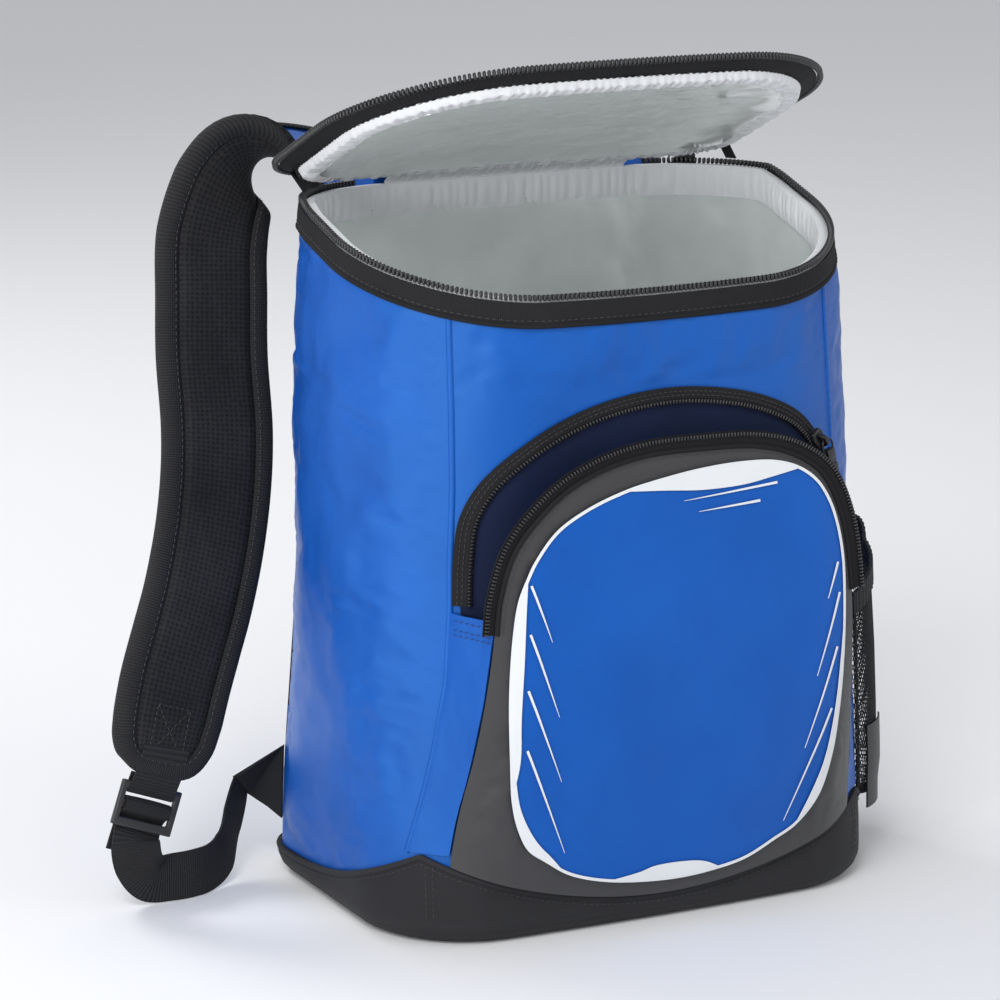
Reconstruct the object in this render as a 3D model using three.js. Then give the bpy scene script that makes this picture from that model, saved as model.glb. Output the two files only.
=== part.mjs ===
// A soft cooler backpack, standing with its lid propped open and its front pocket unzipped.
// Millimetres, +Z up. The origin is the middle of the foot; the pocket side faces -Y,
// the shoulder straps are on the +Y side. Every cloth piece is a closed wall of its own.

import * as THREE from 'three';

// Driving dimensions of the bag

const BAG_WIDTH = 280;          // widest, over the middle of the sides
const BAG_DEPTH = 173;          // at the foot, front to back
const RIM_FRONT = 315;          // height of the mouth at its front corners
const RIM_BACK = 347;           // height of the mouth along the back
const RIM_SLOPE = 15.6;         // degrees that the mouth rises from front to back
const FRONT_BOW = 10;           // how far the front swells forward between its corners
const FRONT_CORNER = 75;        // radius of the front corners at the mouth
const BACK_CORNER = 62;         // radius of the back corners at the mouth
const FOOT_ROUND = 10;          // radius between the walls and the floor
const WALL = 4.5;               // foam and cover of the insulated wall
const LINER_WALL = 1.5;         // film that lines the inside
const CLOTH = 1.6;              // unpadded cover cloth
const SEAT = 0.3;               // clearance between pieces that are sewn together

// Base, mouth and lid

const BASE_LOW = 15.5;          // height of the dark base at the middle of front and back
const BASE_RISE = 30.5;         // how much higher the base comes at its front corners
const COLLAR = 13;              // grey cloth border inside the mouth
const COLLAR_LIP = 2.6;         // the part of the border that stands above the wall
const TAPE = 1.2;               // thickness of zip tape
const MOUTH_TAPE_DEPTH = 9;     // tape below the edge of the wall
const MOUTH_TAPE_LIP = 2.4;     // tape above the edge of the wall
const TAPE_LEAN = 0.7;          // how far the tape's lower edge leans out beside the wall's taper
const TEETH = 3.4;              // height and width of the large zip's teeth
const LID_REACH = 166;          // hinge to free edge of the lid, along the lid
const LID_TILT = 23.4;          // degrees that the open lid rises towards the front
const LID_BACK_CORNER = 34;     // radius of the lid's corners beside the hinge
const LID_TAPE_WIDTH = 10;      // dark tape round the lid
const LID_TAPE_FLARE = 3.5;     // how far that tape curls up at its edge
const LID_BORDER = 10;          // grey cloth border under the lid
const LID_CROWN = 5;            // how far the padded lid rises in its middle
const HINGE_RISE = 5;           // hinge line above the back of the mouth
const HINGE_DEPTH = 14;         // how far the hinge cloth reaches down the back
const HINGE_LOOP = 2;           // how far it stands above the hinge line
const HINGE_LEAN = 0.6;         // how far it leans in as it turns onto the lid
const HINGE_LAP = 5;            // where it lies down on the lid
const LINING_INSET = 6;         // how much shorter the inner hinge strip is at each end
const LINING_TURN = 9.4;        // where the inner strip meets the lid
const LINING_REACH = 15;        // where it ends on the lid
const LINING_DROP = 1.4;        // its slack under the lid's lining
const END_WIDTH = 6;            // short tapes that join the zip's halves beside the hinge
const PIPING_WIDTH = 0.06;      // half width of the back seams, in turns of the outline

// Front pocket

const POCKET_WIDTH = 224;       // across the foot of the pocket
const POCKET_HEIGHT = 249;      // top of the pocket's front
const POCKET_STAND = 21.5;      // how far the pocket stands off the bag
const POCKET_TAPE = 7.5;        // width of the small zip's tapes
const POCKET_TEETH = 2.4;       // height and width of its teeth
const TRIM = 0.6;               // thickness of the printed panels
const TRIM_SEAT = 0.5;          // their clearance over the curved pocket
const INSERT_SHARE = 0.95;      // size of the blue insert inside the white edge
const TRIM_CLEAR = 0.12;        // share of the white edge left clear beside the insert
const POCKET_MIDDLE = 0.55;     // middle of the pocket's panels, as a share of its height
const SLIDER_LENGTH = 11;       // metal slider of both zips
const SLIDER_WIDTH = 8.5;
const SLIDER_PLATE = 2.2;       // thickness of its plate
const BRIDGE = 0.9;             // thickness of the slider's bridge
const BRIDGE_WIDTH = 2.2;
const RING_RADIUS = 4.4;        // ring through the bridge
const RING_WIRE = 0.7;          // radius of its wire
const RING_SIDES = 5;
const RING_STEPS = 10;
const PULL_LENGTH = 38;         // rubber pull on the ring
const PULL_WIDTH = 5.5;
const PULL = 3.6;               // its thickness
const PULL_RIB = 0.6;           // depth of the grooves between the pull's ribs
const PULL_RIBS = 5;
const PULL_LEAN = 0.33;         // sideways lean of the pocket's pull as it hangs
const GUSSET_TOP = 160;         // upper end of the pocket's side strips
const GUSSET_SEAT = 0.6;        // their clearance under the pocket's edge
const ARCH_TOP = 268;           // top of the zip line on the bag
const ARCH_FOOT = 170;          // lower ends of the zip line on the bag
const SLIDER_STEP = 27;         // where its slider rests, in steps of the arch
const SLIDER_INSET = 3;         // how far inside the arch the slider lies

// Side pocket

const MESH_BULGE = 26;          // how far the net pocket swells out
const MESH = 1.2;               // thickness of the net
const MESH_FRONT = 145;         // height of its mouth at the front seam
const MESH_RISE = 24;           // how much higher the mouth is further back
const MESH_SAG = 7;             // how far the pocket hangs under its seam
const BAND_HEIGHT = 11;         // elastic along its mouth
const BAND = 2;                 // thickness of the elastic
const TAG_HEIGHT = 43;          // plain tag on the net pocket
const TAG_FOOT = 31;            // height of the tag's lower edge
const TAG = 1;                  // thickness of the tag
const TAG_SEAT = 0.6;           // its clearance over the net

// Shoulder straps

const STRAP_WIDTH = 58;
const PAD = 8;                  // foam and air mesh
const COVER = 1.2;              // cloth on the outer side of the pad
const PAD_EDGE = 2.5;           // how far the pad's edge tapers
const BINDING = 9;              // width of the woven edge on the mesh side
const WEBBING_WIDTH = 25;
const WEBBING = 1.6;
const STRAP_STAND = 28;         // how far the straps stand off the back
const STRAP_REACH = 100;        // how far the thrown-out strap reaches past the bag's side
const TAB = 6;                  // webbing between the pad's end and the buckle
const BUCKLE_WIDTH = 33;        // plastic buckle with two slots
const BUCKLE_LENGTH = 23;
const BUCKLE = 3.2;             // its thickness
const BUCKLE_BAR = 4.5;         // width of its bars
const STRAIGHT = 6;             // webbing that leaves the buckle before it bends
const ANCHOR_HEIGHT = 40;       // the sewn root of the webbing at the bag's corner
const ANCHOR_TURN = 0.03;       // half width of that root, in turns of the outline

// Walls of the bag: one row for each height, as shares of the sizes above

const SECTIONS = [
  { height: 0.00, width: 0.985, front: 1.000, frontCorner: 0.72, backCorner: 0.45, bow: 0.50 },
  { height: 0.13, width: 0.989, front: 0.985, frontCorner: 0.76, backCorner: 0.53, bow: 0.55 },
  { height: 0.25, width: 0.993, front: 0.970, frontCorner: 0.80, backCorner: 0.69, bow: 0.60 },
  { height: 0.42, width: 0.997, front: 0.950, frontCorner: 0.86, backCorner: 0.89, bow: 0.70 },
  { height: 0.57, width: 1.000, front: 0.930, frontCorner: 0.91, backCorner: 0.97, bow: 0.80 },
  { height: 0.70, width: 0.997, front: 0.915, frontCorner: 0.94, backCorner: 0.97, bow: 0.85 },
  { height: 0.85, width: 0.976, front: 0.895, frontCorner: 0.97, backCorner: 0.98, bow: 0.95 },
  { height: 1.00, width: 0.954, front: 0.873, frontCorner: 1.00, backCorner: 1.00, bow: 1.00 },
];

// Stand-off of the front pocket: height as a share of POCKET_HEIGHT, middle as a share of
// POCKET_STAND, and how much less of it there is at the pocket's side edges

const POCKET_SWELL = [
  { height: 0.00, middle: 0.03, edge: 0.95 },
  { height: 0.10, middle: 0.26, edge: 0.95 },
  { height: 0.18, middle: 0.46, edge: 0.80 },
  { height: 0.29, middle: 0.71, edge: 0.50 },
  { height: 0.40, middle: 0.89, edge: 0.30 },
  { height: 0.52, middle: 0.98, edge: 0.10 },
  { height: 0.66, middle: 1.00, edge: -0.10 },
  { height: 0.80, middle: 0.93, edge: -0.10 },
  { height: 0.92, middle: 0.78, edge: 0.00 },
  { height: 1.00, middle: 0.66, edge: 0.10 },
];

// Edge of the pocket's front from its lower left corner over the arch to its lower right one:
// across as a share of half POCKET_WIDTH, height as a share of POCKET_HEIGHT

const POCKET_EDGE = [
  { across: -1.000, height: 0.175 },
  { across: -0.975, height: 0.290 },
  { across: -0.940, height: 0.395 },
  { across: -0.908, height: 0.510 },
  { across: -0.880, height: 0.630 },
  { across: -0.860, height: 0.715 },
  { across: -0.785, height: 0.810 },
  { across: -0.620, height: 0.890 },
  { across: -0.420, height: 0.940 },
  { across: -0.170, height: 0.967 },
  { across: 0.125, height: 0.970 },
  { across: 0.400, height: 0.962 },
  { across: 0.590, height: 0.937 },
  { across: 0.740, height: 0.890 },
  { across: 0.835, height: 0.805 },
  { across: 0.880, height: 0.690 },
  { across: 0.905, height: 0.570 },
  { across: 0.935, height: 0.410 },
  { across: 0.970, height: 0.290 },
  { across: 1.000, height: 0.175 },
];

// Light trim and blue panel printed on the pocket, outer edges, in the same shares

const TRIM_EDGE = [
  { across: -0.735, height: 0.380 },
  { across: -0.745, height: 0.560 },
  { across: -0.700, height: 0.700 },
  { across: -0.530, height: 0.822 },
  { across: -0.200, height: 0.895 },
  { across: 0.180, height: 0.920 },
  { across: 0.520, height: 0.918 },
  { across: 0.690, height: 0.850 },
  { across: 0.760, height: 0.720 },
  { across: 0.780, height: 0.500 },
  { across: 0.740, height: 0.320 },
  { across: 0.610, height: 0.205 },
  { across: 0.330, height: 0.128 },
  { across: -0.050, height: 0.105 },
  { across: -0.400, height: 0.140 },
  { across: -0.650, height: 0.225 },
];

// Line of the pocket's zip on the bag: across as a share of half POCKET_WIDTH, height as a
// share of the way from ARCH_FOOT to ARCH_TOP

const ARCH = [
  { across: -0.955, height: 0.00 },
  { across: -0.945, height: 0.22 },
  { across: -0.915, height: 0.44 },
  { across: -0.825, height: 0.62 },
  { across: -0.625, height: 0.80 },
  { across: -0.340, height: 0.94 },
  { across: 0.000, height: 1.00 },
  { across: 0.312, height: 0.97 },
  { across: 0.560, height: 0.89 },
  { across: 0.730, height: 0.78 },
  { across: 0.860, height: 0.60 },
  { across: 0.930, height: 0.41 },
  { across: 0.950, height: 0.20 },
  { across: 0.955, height: 0.00 },
];

// Front seams between the front panel and the sides, height as a share of RIM_FRONT, across as
// a share of half BAG_WIDTH

const FRONT_SEAM = [
  { height: 0.130, across: 0.915 },
  { height: 0.250, across: 0.858 },
  { height: 0.315, across: 0.828 },
  { height: 0.420, across: 0.790 },
  { height: 0.530, across: 0.770 },
];

// Thrown-out left strap, from its sewn end over the crest down to the buckle: out is a share of
// STRAP_REACH past the bag's side, back a share of STRAP_STAND behind the bag, up a share of
// RIM_BACK, width a share of STRAP_WIDTH; edge is the direction of the strap's outer edge

const LEFT_STRAP = [
  { out: -0.68, back: 0.205, up: 0.915, width: 1.0, edge: [-1, 0, 0] },
  { out: -0.66, back: 0.40, up: 0.975, width: 1.0, edge: [-1, -0.06, 0.05] },
  { out: -0.53, back: 0.98, up: 1.032, width: 1.0, edge: [-0.75, -0.45, -0.05] },
  { out: -0.31, back: 1.36, up: 1.055, width: 1.0, edge: [-0.28, -0.88, -0.12] },
  { out: -0.11, back: 1.28, up: 1.040, width: 1.0, edge: [-0.62, -0.55, 0.55] },
  { out: 0.02, back: 1.02, up: 1.000, width: 1.0, edge: [-0.90, -0.12, 0.40] },
  { out: 0.105, back: 0.88, up: 0.935, width: 1.0, edge: [-1, 0, 0.08] },
  { out: 0.140, back: 0.67, up: 0.847, width: 1.0, edge: [-1, 0, 0.06] },
  { out: 0.170, back: 0.44, up: 0.768, width: 1.0, edge: [-1, 0, 0.08] },
  { out: 0.200, back: 0.00, up: 0.667, width: 1.0, edge: [-1, 0, 0.12] },
  { out: 0.250, back: -0.34, up: 0.596, width: 1.0, edge: [-1, 0, 0.22] },
  { out: 0.330, back: -0.68, up: 0.517, width: 1.0, edge: [-1, 0, 0.32] },
  { out: 0.440, back: -1.04, up: 0.438, width: 1.0, edge: [-1, 0, 0.40] },
  { out: 0.527, back: -1.25, up: 0.384, width: 1.0, edge: [-1, 0, 0.42] },
  { out: 0.615, back: -1.43, up: 0.325, width: 1.0, edge: [-1, 0, 0.40] },
  { out: 0.672, back: -1.57, up: 0.280, width: 0.98, edge: [-1, 0, 0.38] },
  { out: 0.710, back: -1.63, up: 0.243, width: 0.92, edge: [-1, 0, 0.40] },
  { out: 0.738, back: -1.66, up: 0.217, width: 0.76, edge: [-1, 0, 0.46] },
  { out: 0.758, back: -1.68, up: 0.202, width: 0.48, edge: [-1, 0, 0.50] },
];

// Right strap, hanging down behind the back, in the same columns

const RIGHT_STRAP = [
  { out: -0.72, back: 0.205, up: 0.915, width: 1.0, edge: [1, 0, 0] },
  { out: -0.71, back: 0.38, up: 0.965, width: 1.0, edge: [1, 0, 0] },
  { out: -0.70, back: 0.66, up: 1.012, width: 1.0, edge: [1, 0, 0] },
  { out: -0.68, back: 1.12, up: 1.012, width: 1.0, edge: [1, 0, 0] },
  { out: -0.65, back: 1.42, up: 0.970, width: 1.0, edge: [1, 0, 0] },
  { out: -0.60, back: 1.48, up: 0.880, width: 1.0, edge: [1, 0, -0.05] },
  { out: -0.54, back: 1.40, up: 0.750, width: 1.0, edge: [1, 0, -0.08] },
  { out: -0.47, back: 1.26, up: 0.620, width: 1.0, edge: [1, 0, -0.08] },
  { out: -0.42, back: 1.08, up: 0.490, width: 1.0, edge: [1, 0, -0.06] },
  { out: -0.38, back: 0.92, up: 0.380, width: 1.0, edge: [1, 0, -0.06] },
  { out: -0.36, back: 0.82, up: 0.310, width: 0.98, edge: [1, 0, -0.05] },
  { out: -0.35, back: 0.77, up: 0.270, width: 0.92, edge: [1, 0, -0.05] },
  { out: -0.345, back: 0.74, up: 0.245, width: 0.76, edge: [1, 0, -0.05] },
  { out: -0.34, back: 0.72, up: 0.230, width: 0.48, edge: [1, 0, -0.05] },
];

// Webbing from each buckle to the bag's lower corner, in the same shares

const LEFT_WEBBING = [
  { out: 0.850, back: -1.62, up: 0.068, edge: [-0.75, 0.3, -0.50] },
  { out: 0.770, back: -1.52, up: 0.041, edge: [-0.45, 0.1, -0.90] },
  { out: 0.660, back: -1.48, up: 0.038, edge: [-0.10, 0, -1] },
  { out: 0.540, back: -1.44, up: 0.038, edge: [0, 0, -1] },
  { out: 0.420, back: -1.25, up: 0.039, edge: [0, 0, -1] },
  { out: 0.320, back: -0.98, up: 0.050, edge: [0.1, 0, -1] },
  { out: 0.230, back: -0.62, up: 0.088, edge: [0.1, 0.1, -1] },
  { out: 0.150, back: -0.36, up: 0.132, edge: [0, 0.1, -1] },
];

const RIGHT_WEBBING = [
  { out: -0.310, back: 0.70, up: 0.100, edge: [1, 0, -0.2] },
  { out: -0.260, back: 0.75, up: 0.062, edge: [0.8, 0, -0.6] },
  { out: -0.160, back: 0.86, up: 0.043, edge: [0.2, 0, -1] },
  { out: -0.040, back: 0.92, up: 0.039, edge: [0, 0, -1] },
  { out: 0.070, back: 0.78, up: 0.042, edge: [0, 0, -1] },
  { out: 0.100, back: 0.43, up: 0.070, edge: [0, 0, -1] },
  { out: 0.045, back: 0.16, up: 0.115, edge: [0, 0, -1] },
];

// Levels that several pieces share

const back = BAG_DEPTH / 2;
const footLevel = CLOTH + SEAT;
const footTop = footLevel + FOOT_ROUND;
const radians = THREE.MathUtils.degToRad;

// Reads a column of a table at any height

function read(rows, column, height) {
  const last = rows[rows.length - 1];
  if (height >= last.height) return last[column];
  for (let i = 1; i < rows.length; i++) {
    const high = rows[i];
    const low = rows[i - 1];
    if (height <= high.height) {
      const share = Math.max(0, (height - low.height) / (high.height - low.height));
      return low[column] + (high[column] - low[column]) * share;
    }
  }
  return last[column];
}

// Outline of the bag at one height share

function sectionAt(share) {
  return {
    half: read(SECTIONS, 'width', share) * BAG_WIDTH / 2,
    front: -read(SECTIONS, 'front', share) * BAG_DEPTH / 2,
    frontCorner: read(SECTIONS, 'frontCorner', share) * FRONT_CORNER,
    backCorner: read(SECTIONS, 'backCorner', share) * BACK_CORNER,
    bow: read(SECTIONS, 'bow', share) * FRONT_BOW,
  };
}

const mouth = sectionAt(1);

// The outline has eight stretches, walked anticlockwise from the right side: side, back corner,
// back, back corner, side, front corner, front, front corner. A turn of 6.5 is the front's middle.

const SIDE_STEPS = 2;
const CORNER_STEPS = 5;
const BACK_STEPS = 3;
const FRONT_STEPS = 6;
const STEPS = [SIDE_STEPS, CORNER_STEPS, BACK_STEPS, CORNER_STEPS,
  SIDE_STEPS, CORNER_STEPS, FRONT_STEPS, CORNER_STEPS];

const allTurns = STEPS.flatMap((count, stretch) =>
  Array.from({ length: count }, (_, i) => stretch + i / count));

function turnsBetween(start, end) {
  const inside = [0, 8].flatMap((lap) => allTurns.map((turn) => turn + lap))
    .filter((turn) => turn > start + 0.02 && turn < end - 0.02);
  return [start, ...inside, end];
}

function outline(section, turn, out = 0) {
  const { half, front, frontCorner, backCorner, bow } = section;
  const lap = ((turn % 8) + 8) % 8;
  const stretch = Math.floor(lap);
  const share = lap - stretch;
  const blend = (a, b) => a + (b - a) * share;
  let x;
  let y;
  let angle;
  if (stretch === 0) {
    x = half;
    y = blend(front + frontCorner, back - backCorner);
    angle = 0;
  } else if (stretch === 2) {
    x = blend(half - backCorner, backCorner - half);
    y = back;
    angle = 90;
  } else if (stretch === 4) {
    x = -half;
    y = blend(back - backCorner, front + frontCorner);
    angle = 180;
  } else if (stretch === 6) {
    x = blend(frontCorner - half, half - frontCorner);
    y = front;
    angle = 270;
  } else {
    angle = 90 * (stretch - 1) / 2 + 90 * share;
    const radius = stretch < 4 ? backCorner : frontCorner;
    const side = stretch === 1 || stretch === 7 ? 1 : -1;
    x = side * (half - radius) + radius * Math.cos(radians(angle));
    const centre = stretch < 4 ? back - radius : front + radius;
    y = centre + radius * Math.sin(radians(angle));
  }
  const forward = THREE.MathUtils.clamp((back - y) / (back - front), 0, 1);
  const bowed = y - bow * (1 - (x / half) ** 2) * forward;
  return {
    x: x + out * Math.cos(radians(angle)),
    y: bowed + out * Math.sin(radians(angle)),
    yOnWall: bowed,
  };
}

// Height of the mouth where the wall stands at y

function rimHeight(y) {
  const rise = (y - mouth.front) * Math.tan(radians(RIM_SLOPE));
  return Math.min(RIM_FRONT + rise, RIM_BACK);
}

function wallPoint(share, turn, out, lift = 0) {
  const { x, y, yOnWall } = outline(sectionAt(share), turn, out);
  const z = footTop + share * (rimHeight(yOnWall) - footTop) + lift;
  return new THREE.Vector3(x, y, z);
}

// The floor's rounded edge, as a ring at an angle from straight down to level

function footRing(out, degrees) {
  const radius = FOOT_ROUND + out;
  const offset = radius * Math.sin(radians(degrees)) - FOOT_ROUND;
  const z = footTop - radius * Math.cos(radians(degrees));
  return allTurns.map((turn) => {
    const { x, y } = outline(sectionAt(0), turn, offset);
    return new THREE.Vector3(x, y, z);
  });
}

function shareAt(z, turn) {
  const { yOnWall } = outline(sectionAt(0), turn);
  return (z - footTop) / (rimHeight(yOnWall) - footTop);
}

// One closed body through rings of equal length: capped at both ends, or joined end to end

function ringBody(rings, joined = false) {
  const size = rings[0].length;
  const positions = rings.flatMap((ring) => ring.flatMap((point) => point.toArray()));
  const faces = [];
  const points = rings.flat();
  const quad = (a, b, c, d) => {
    const level = points[a].distanceTo(points[c]) <= points[b].distanceTo(points[d]);
    faces.push(...(level ? [[a, b, c], [a, c, d]] : [[a, b, d], [b, c, d]]));
  };
  const spans = joined ? rings.length : rings.length - 1;
  for (let r = 0; r < spans; r++) {
    const low = r * size;
    const high = ((r + 1) % rings.length) * size;
    for (let i = 0; i < size; i++) {
      const next = (i + 1) % size;
      quad(low + i, low + next, high + next, high + i);
    }
  }
  if (!joined) {
    const top = (rings.length - 1) * size;
    for (let i = 0; i < size / 2 - 1; i++) {
      const far = size - 1 - i;
      if (i + 1 === far - 1) {
        faces.push([i, far, i + 1], [top + i, top + i + 1, top + far]);
      } else {
        quad(i, far, far - 1, i + 1);
        quad(top + i, top + i + 1, top + far - 1, top + far);
      }
    }
  }
  const volume = faces.reduce((sum, [a, b, c]) => {
    const [p, q, s] = [a, b, c].map((i) => new THREE.Vector3().fromArray(positions, 3 * i));
    return sum + p.dot(q.cross(s));
  }, 0);
  const outward = volume > 0 ? faces : faces.map(([a, b, c]) => [a, c, b]);
  const geometry = new THREE.BufferGeometry();
  geometry.setAttribute('position', new THREE.Float32BufferAttribute(positions, 3));
  geometry.setIndex(outward.flat());
  geometry.computeVertexNormals();
  return geometry;
}

// Walls of the bag

const bag = new THREE.Group();

function add(name, geometry, color, roughness, metalness = 0) {
  const material = new THREE.MeshStandardMaterial({ color, roughness, metalness });
  const mesh = new THREE.Mesh(geometry, material);
  mesh.name = name;
  bag.add(mesh);
  return mesh;
}

const BLUE = 0x1f5fbf;
const BLACK = 0x1b1c20;
const DARK = 0x26272c;
const CHARCOAL = 0x3a3a3e;
const GREY = 0xbfc2c6;
const SILVER = 0x9aa39f;
const WHITE = 0xe6e8ea;
const METAL = 0x6d7076;

const FOOT_ANGLES = [0, 45];

// A cup between two offsets from the wall's outer face, up to a height given for each turn

function cup(inner, outer, shares) {
  const side = (out, share) => allTurns.map((turn) => wallPoint(share(turn), turn, out));
  const outside = [...FOOT_ANGLES.map((a) => footRing(outer, a)), ...shares.map((s) => side(outer, s))];
  const inside = [...FOOT_ANGLES.map((a) => footRing(inner, a)), ...shares.map((s) => side(inner, s))];
  return ringBody([...outside, ...inside.reverse()]);
}

const wallShares = SECTIONS.map((row) => () => row.height);

// The base is highest at the front corners and low along the front, the sides' ends and the back

function baseEdge(turn) {
  const lap = ((turn % 8) + 8) % 8;
  const walked = lap < 2.5 ? lap + 8 : lap;
  const folded = walked > 6.5 ? 13 - walked : walked;
  const { half, front, frontCorner, backCorner } = sectionAt(0);
  const arc = frontCorner * Math.PI / 2;
  const frontHalf = half - frontCorner;
  const side = back - backCorner - front - frontCorner;
  let share;
  if (folded >= 5.5) {
    const walk = folded > 6 ? (6.5 - folded) * 2 * frontHalf : frontHalf + (6 - folded) * arc;
    share = (walk / (frontHalf + arc / 2)) ** 1.9;
  } else {
    const walk = folded > 5 ? (5.5 - folded) * arc : arc / 2 + (5 - folded) * side;
    share = Math.max(0, 1 - walk / (arc / 2 + side)) ** 2.2;
  }
  return BASE_LOW + BASE_RISE * share;
}

const baseOut = SEAT + CLOTH;
const baseTop = (part) => (turn) => part * shareAt(baseEdge(turn), turn);

add('base_cup', cup(SEAT, baseOut, [0, 0.5, 1].map(baseTop)), DARK, 0.85);
add('bag_shell', cup(-WALL, 0, wallShares), BLUE, 0.6);

const linerTop = (turn) => 1 - (COLLAR + SEAT) / (rimHeight(outline(mouth, turn).yOnWall) - footTop);
const linerShares = SECTIONS.filter((row) => row.height < 0.9).map((row) => () => row.height);
const linerOut = -WALL - SEAT;
add('liner', cup(linerOut - LINER_WALL, linerOut, [...linerShares, linerTop]), SILVER, 0.35, 0.3);

// A band that follows the wall near the mouth, between two heights and two offsets

function mouthBand(turns, inner, outer, bottom, top, joined = false) {
  const rings = turns.map((turn) => [
    wallPoint(1, turn, inner, bottom),
    wallPoint(1, turn, outer, bottom),
    wallPoint(1, turn, outer, top),
    wallPoint(1, turn, inner, top),
  ]);
  return ringBody(rings, joined);
}

add('mouth_border', mouthBand(allTurns, linerOut - LINER_WALL, linerOut, -COLLAR, COLLAR_LIP, true),
  GREY, 0.9);

const zipTurns = turnsBetween(3.12, 9.88);
const tapeRings = zipTurns.map((turn) => [
  wallPoint(1, turn, SEAT + TAPE_LEAN, -MOUTH_TAPE_DEPTH),
  wallPoint(1, turn, SEAT + TAPE_LEAN + TAPE, -MOUTH_TAPE_DEPTH),
  wallPoint(1, turn, SEAT + TAPE, MOUTH_TAPE_LIP),
  wallPoint(1, turn, SEAT, MOUTH_TAPE_LIP),
]);
add('mouth_zip_tape', ringBody(tapeRings), BLACK, 0.9);
const teethLow = MOUTH_TAPE_LIP + SEAT;
const teethOut = SEAT + TAPE - TEETH;
add('mouth_zip_teeth', mouthBand(zipTurns, teethOut, teethOut + TEETH, teethLow, teethLow + TEETH),
  BLACK, 0.45);

// Lid: the mouth's outline with tighter back corners, turned up about the hinge

const lidOutline = { ...mouth, backCorner: LID_BACK_CORNER };
const mouthDepth = back - mouth.front + mouth.bow;
const lidForward = new THREE.Vector3(0, -Math.cos(radians(LID_TILT)), Math.sin(radians(LID_TILT)));
const lidUp = new THREE.Vector3(0, Math.sin(radians(LID_TILT)), Math.cos(radians(LID_TILT)));
const hinge = new THREE.Vector3(0, back, RIM_BACK + HINGE_RISE);

function onLid(x, reach, rise) {
  return hinge.clone().addScaledVector(lidForward, reach).addScaledVector(lidUp, rise).setX(x);
}

function lidPoint(turn, inset, rise) {
  const { x, y } = outline(lidOutline, turn, -inset);
  return onLid(x, (back - y) * LID_REACH / mouthDepth, rise);
}

// A slab of the lid: rings shrink towards the middle, with its own crown

const LID_RINGS = [1, 0.75, 0.35];

function lidSlab(inset, bottom, top, crown) {
  const middle = (rise) => onLid(0, LID_REACH / 2, rise);
  const ring = (share, rise) => allTurns.map((turn) => {
    const swell = crown * (1 - share ** 2);
    return lidPoint(turn, inset, rise).lerp(middle(rise), 1 - share).addScaledVector(lidUp, swell);
  });
  const over = LID_RINGS.map((share) => ring(share, top));
  const under = LID_RINGS.map((share) => ring(share, bottom));
  return ringBody([...over.reverse(), ...under]);
}

const panelInset = LID_TAPE_WIDTH + SEAT;
const lidLiningInset = panelInset + LID_BORDER + SEAT;
add('lid_panel', lidSlab(panelInset, 0, WALL, LID_CROWN), BLUE, 0.6);
add('lid_liner', lidSlab(lidLiningInset, -SEAT - LINER_WALL, -SEAT, LID_CROWN), SILVER, 0.3, 0.3);

function lidBand(turns, insets, joined = false) {
  return ringBody(turns.map((turn) => insets.map(([inset, rise]) => lidPoint(turn, inset, rise))), joined);
}

add('lid_border', lidBand(allTurns, [
  [panelInset, -SEAT - LINER_WALL],
  [panelInset, -SEAT],
  [lidLiningInset - SEAT, -SEAT],
  [lidLiningInset - SEAT, -SEAT - LINER_WALL],
], true), GREY, 0.9);

const lidTapeRise = WALL / 2;
add('lid_zip_tape', lidBand(zipTurns, [
  [LID_TAPE_WIDTH, lidTapeRise],
  [LID_TAPE_WIDTH, lidTapeRise + TAPE],
  [0, lidTapeRise + LID_TAPE_FLARE + TAPE],
  [0, lidTapeRise + LID_TAPE_FLARE],
]), BLACK, 0.9);

const lidTeethRise = lidTapeRise + LID_TAPE_FLARE + (TAPE - TEETH) / 2;
add('lid_zip_teeth', lidBand(zipTurns, [
  [-SEAT, lidTeethRise],
  [-SEAT, lidTeethRise + TEETH],
  [-SEAT - TEETH, lidTeethRise + TEETH],
  [-SEAT - TEETH, lidTeethRise],
]), BLACK, 0.45);

// Hinge cloth between the back of the bag and the lid, outside and inside

function sheetAlongX(halfWidth, path, thickness) {
  const steps = path.map((point, i) => {
    const ahead = path[Math.min(i + 1, path.length - 1)].clone().sub(path[Math.max(i - 1, 0)]);
    return new THREE.Vector3(0, ahead.z, -ahead.y).setLength(thickness / 2);
  });
  return ringBody(path.map((point, i) => [
    point.clone().add(steps[i]).setX(-halfWidth),
    point.clone().add(steps[i]).setX(halfWidth),
    point.clone().sub(steps[i]).setX(halfWidth),
    point.clone().sub(steps[i]).setX(-halfWidth),
  ]));
}

const hingeHalf = mouth.half - mouth.backCorner;
const hingeFace = back + SEAT + CLOTH / 2;
add('hinge_cloth', sheetAlongX(hingeHalf, [
  new THREE.Vector3(0, hingeFace, RIM_BACK - HINGE_DEPTH),
  new THREE.Vector3(0, hingeFace, RIM_BACK - 1),
  new THREE.Vector3(0, hingeFace - HINGE_LEAN, RIM_BACK + HINGE_RISE + HINGE_LOOP),
  onLid(0, HINGE_LAP, WALL / 2 + HINGE_LEAN),
  onLid(0, panelInset * LID_REACH / mouthDepth - SEAT, WALL / 2),
], CLOTH), BLUE, 0.65);

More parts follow.
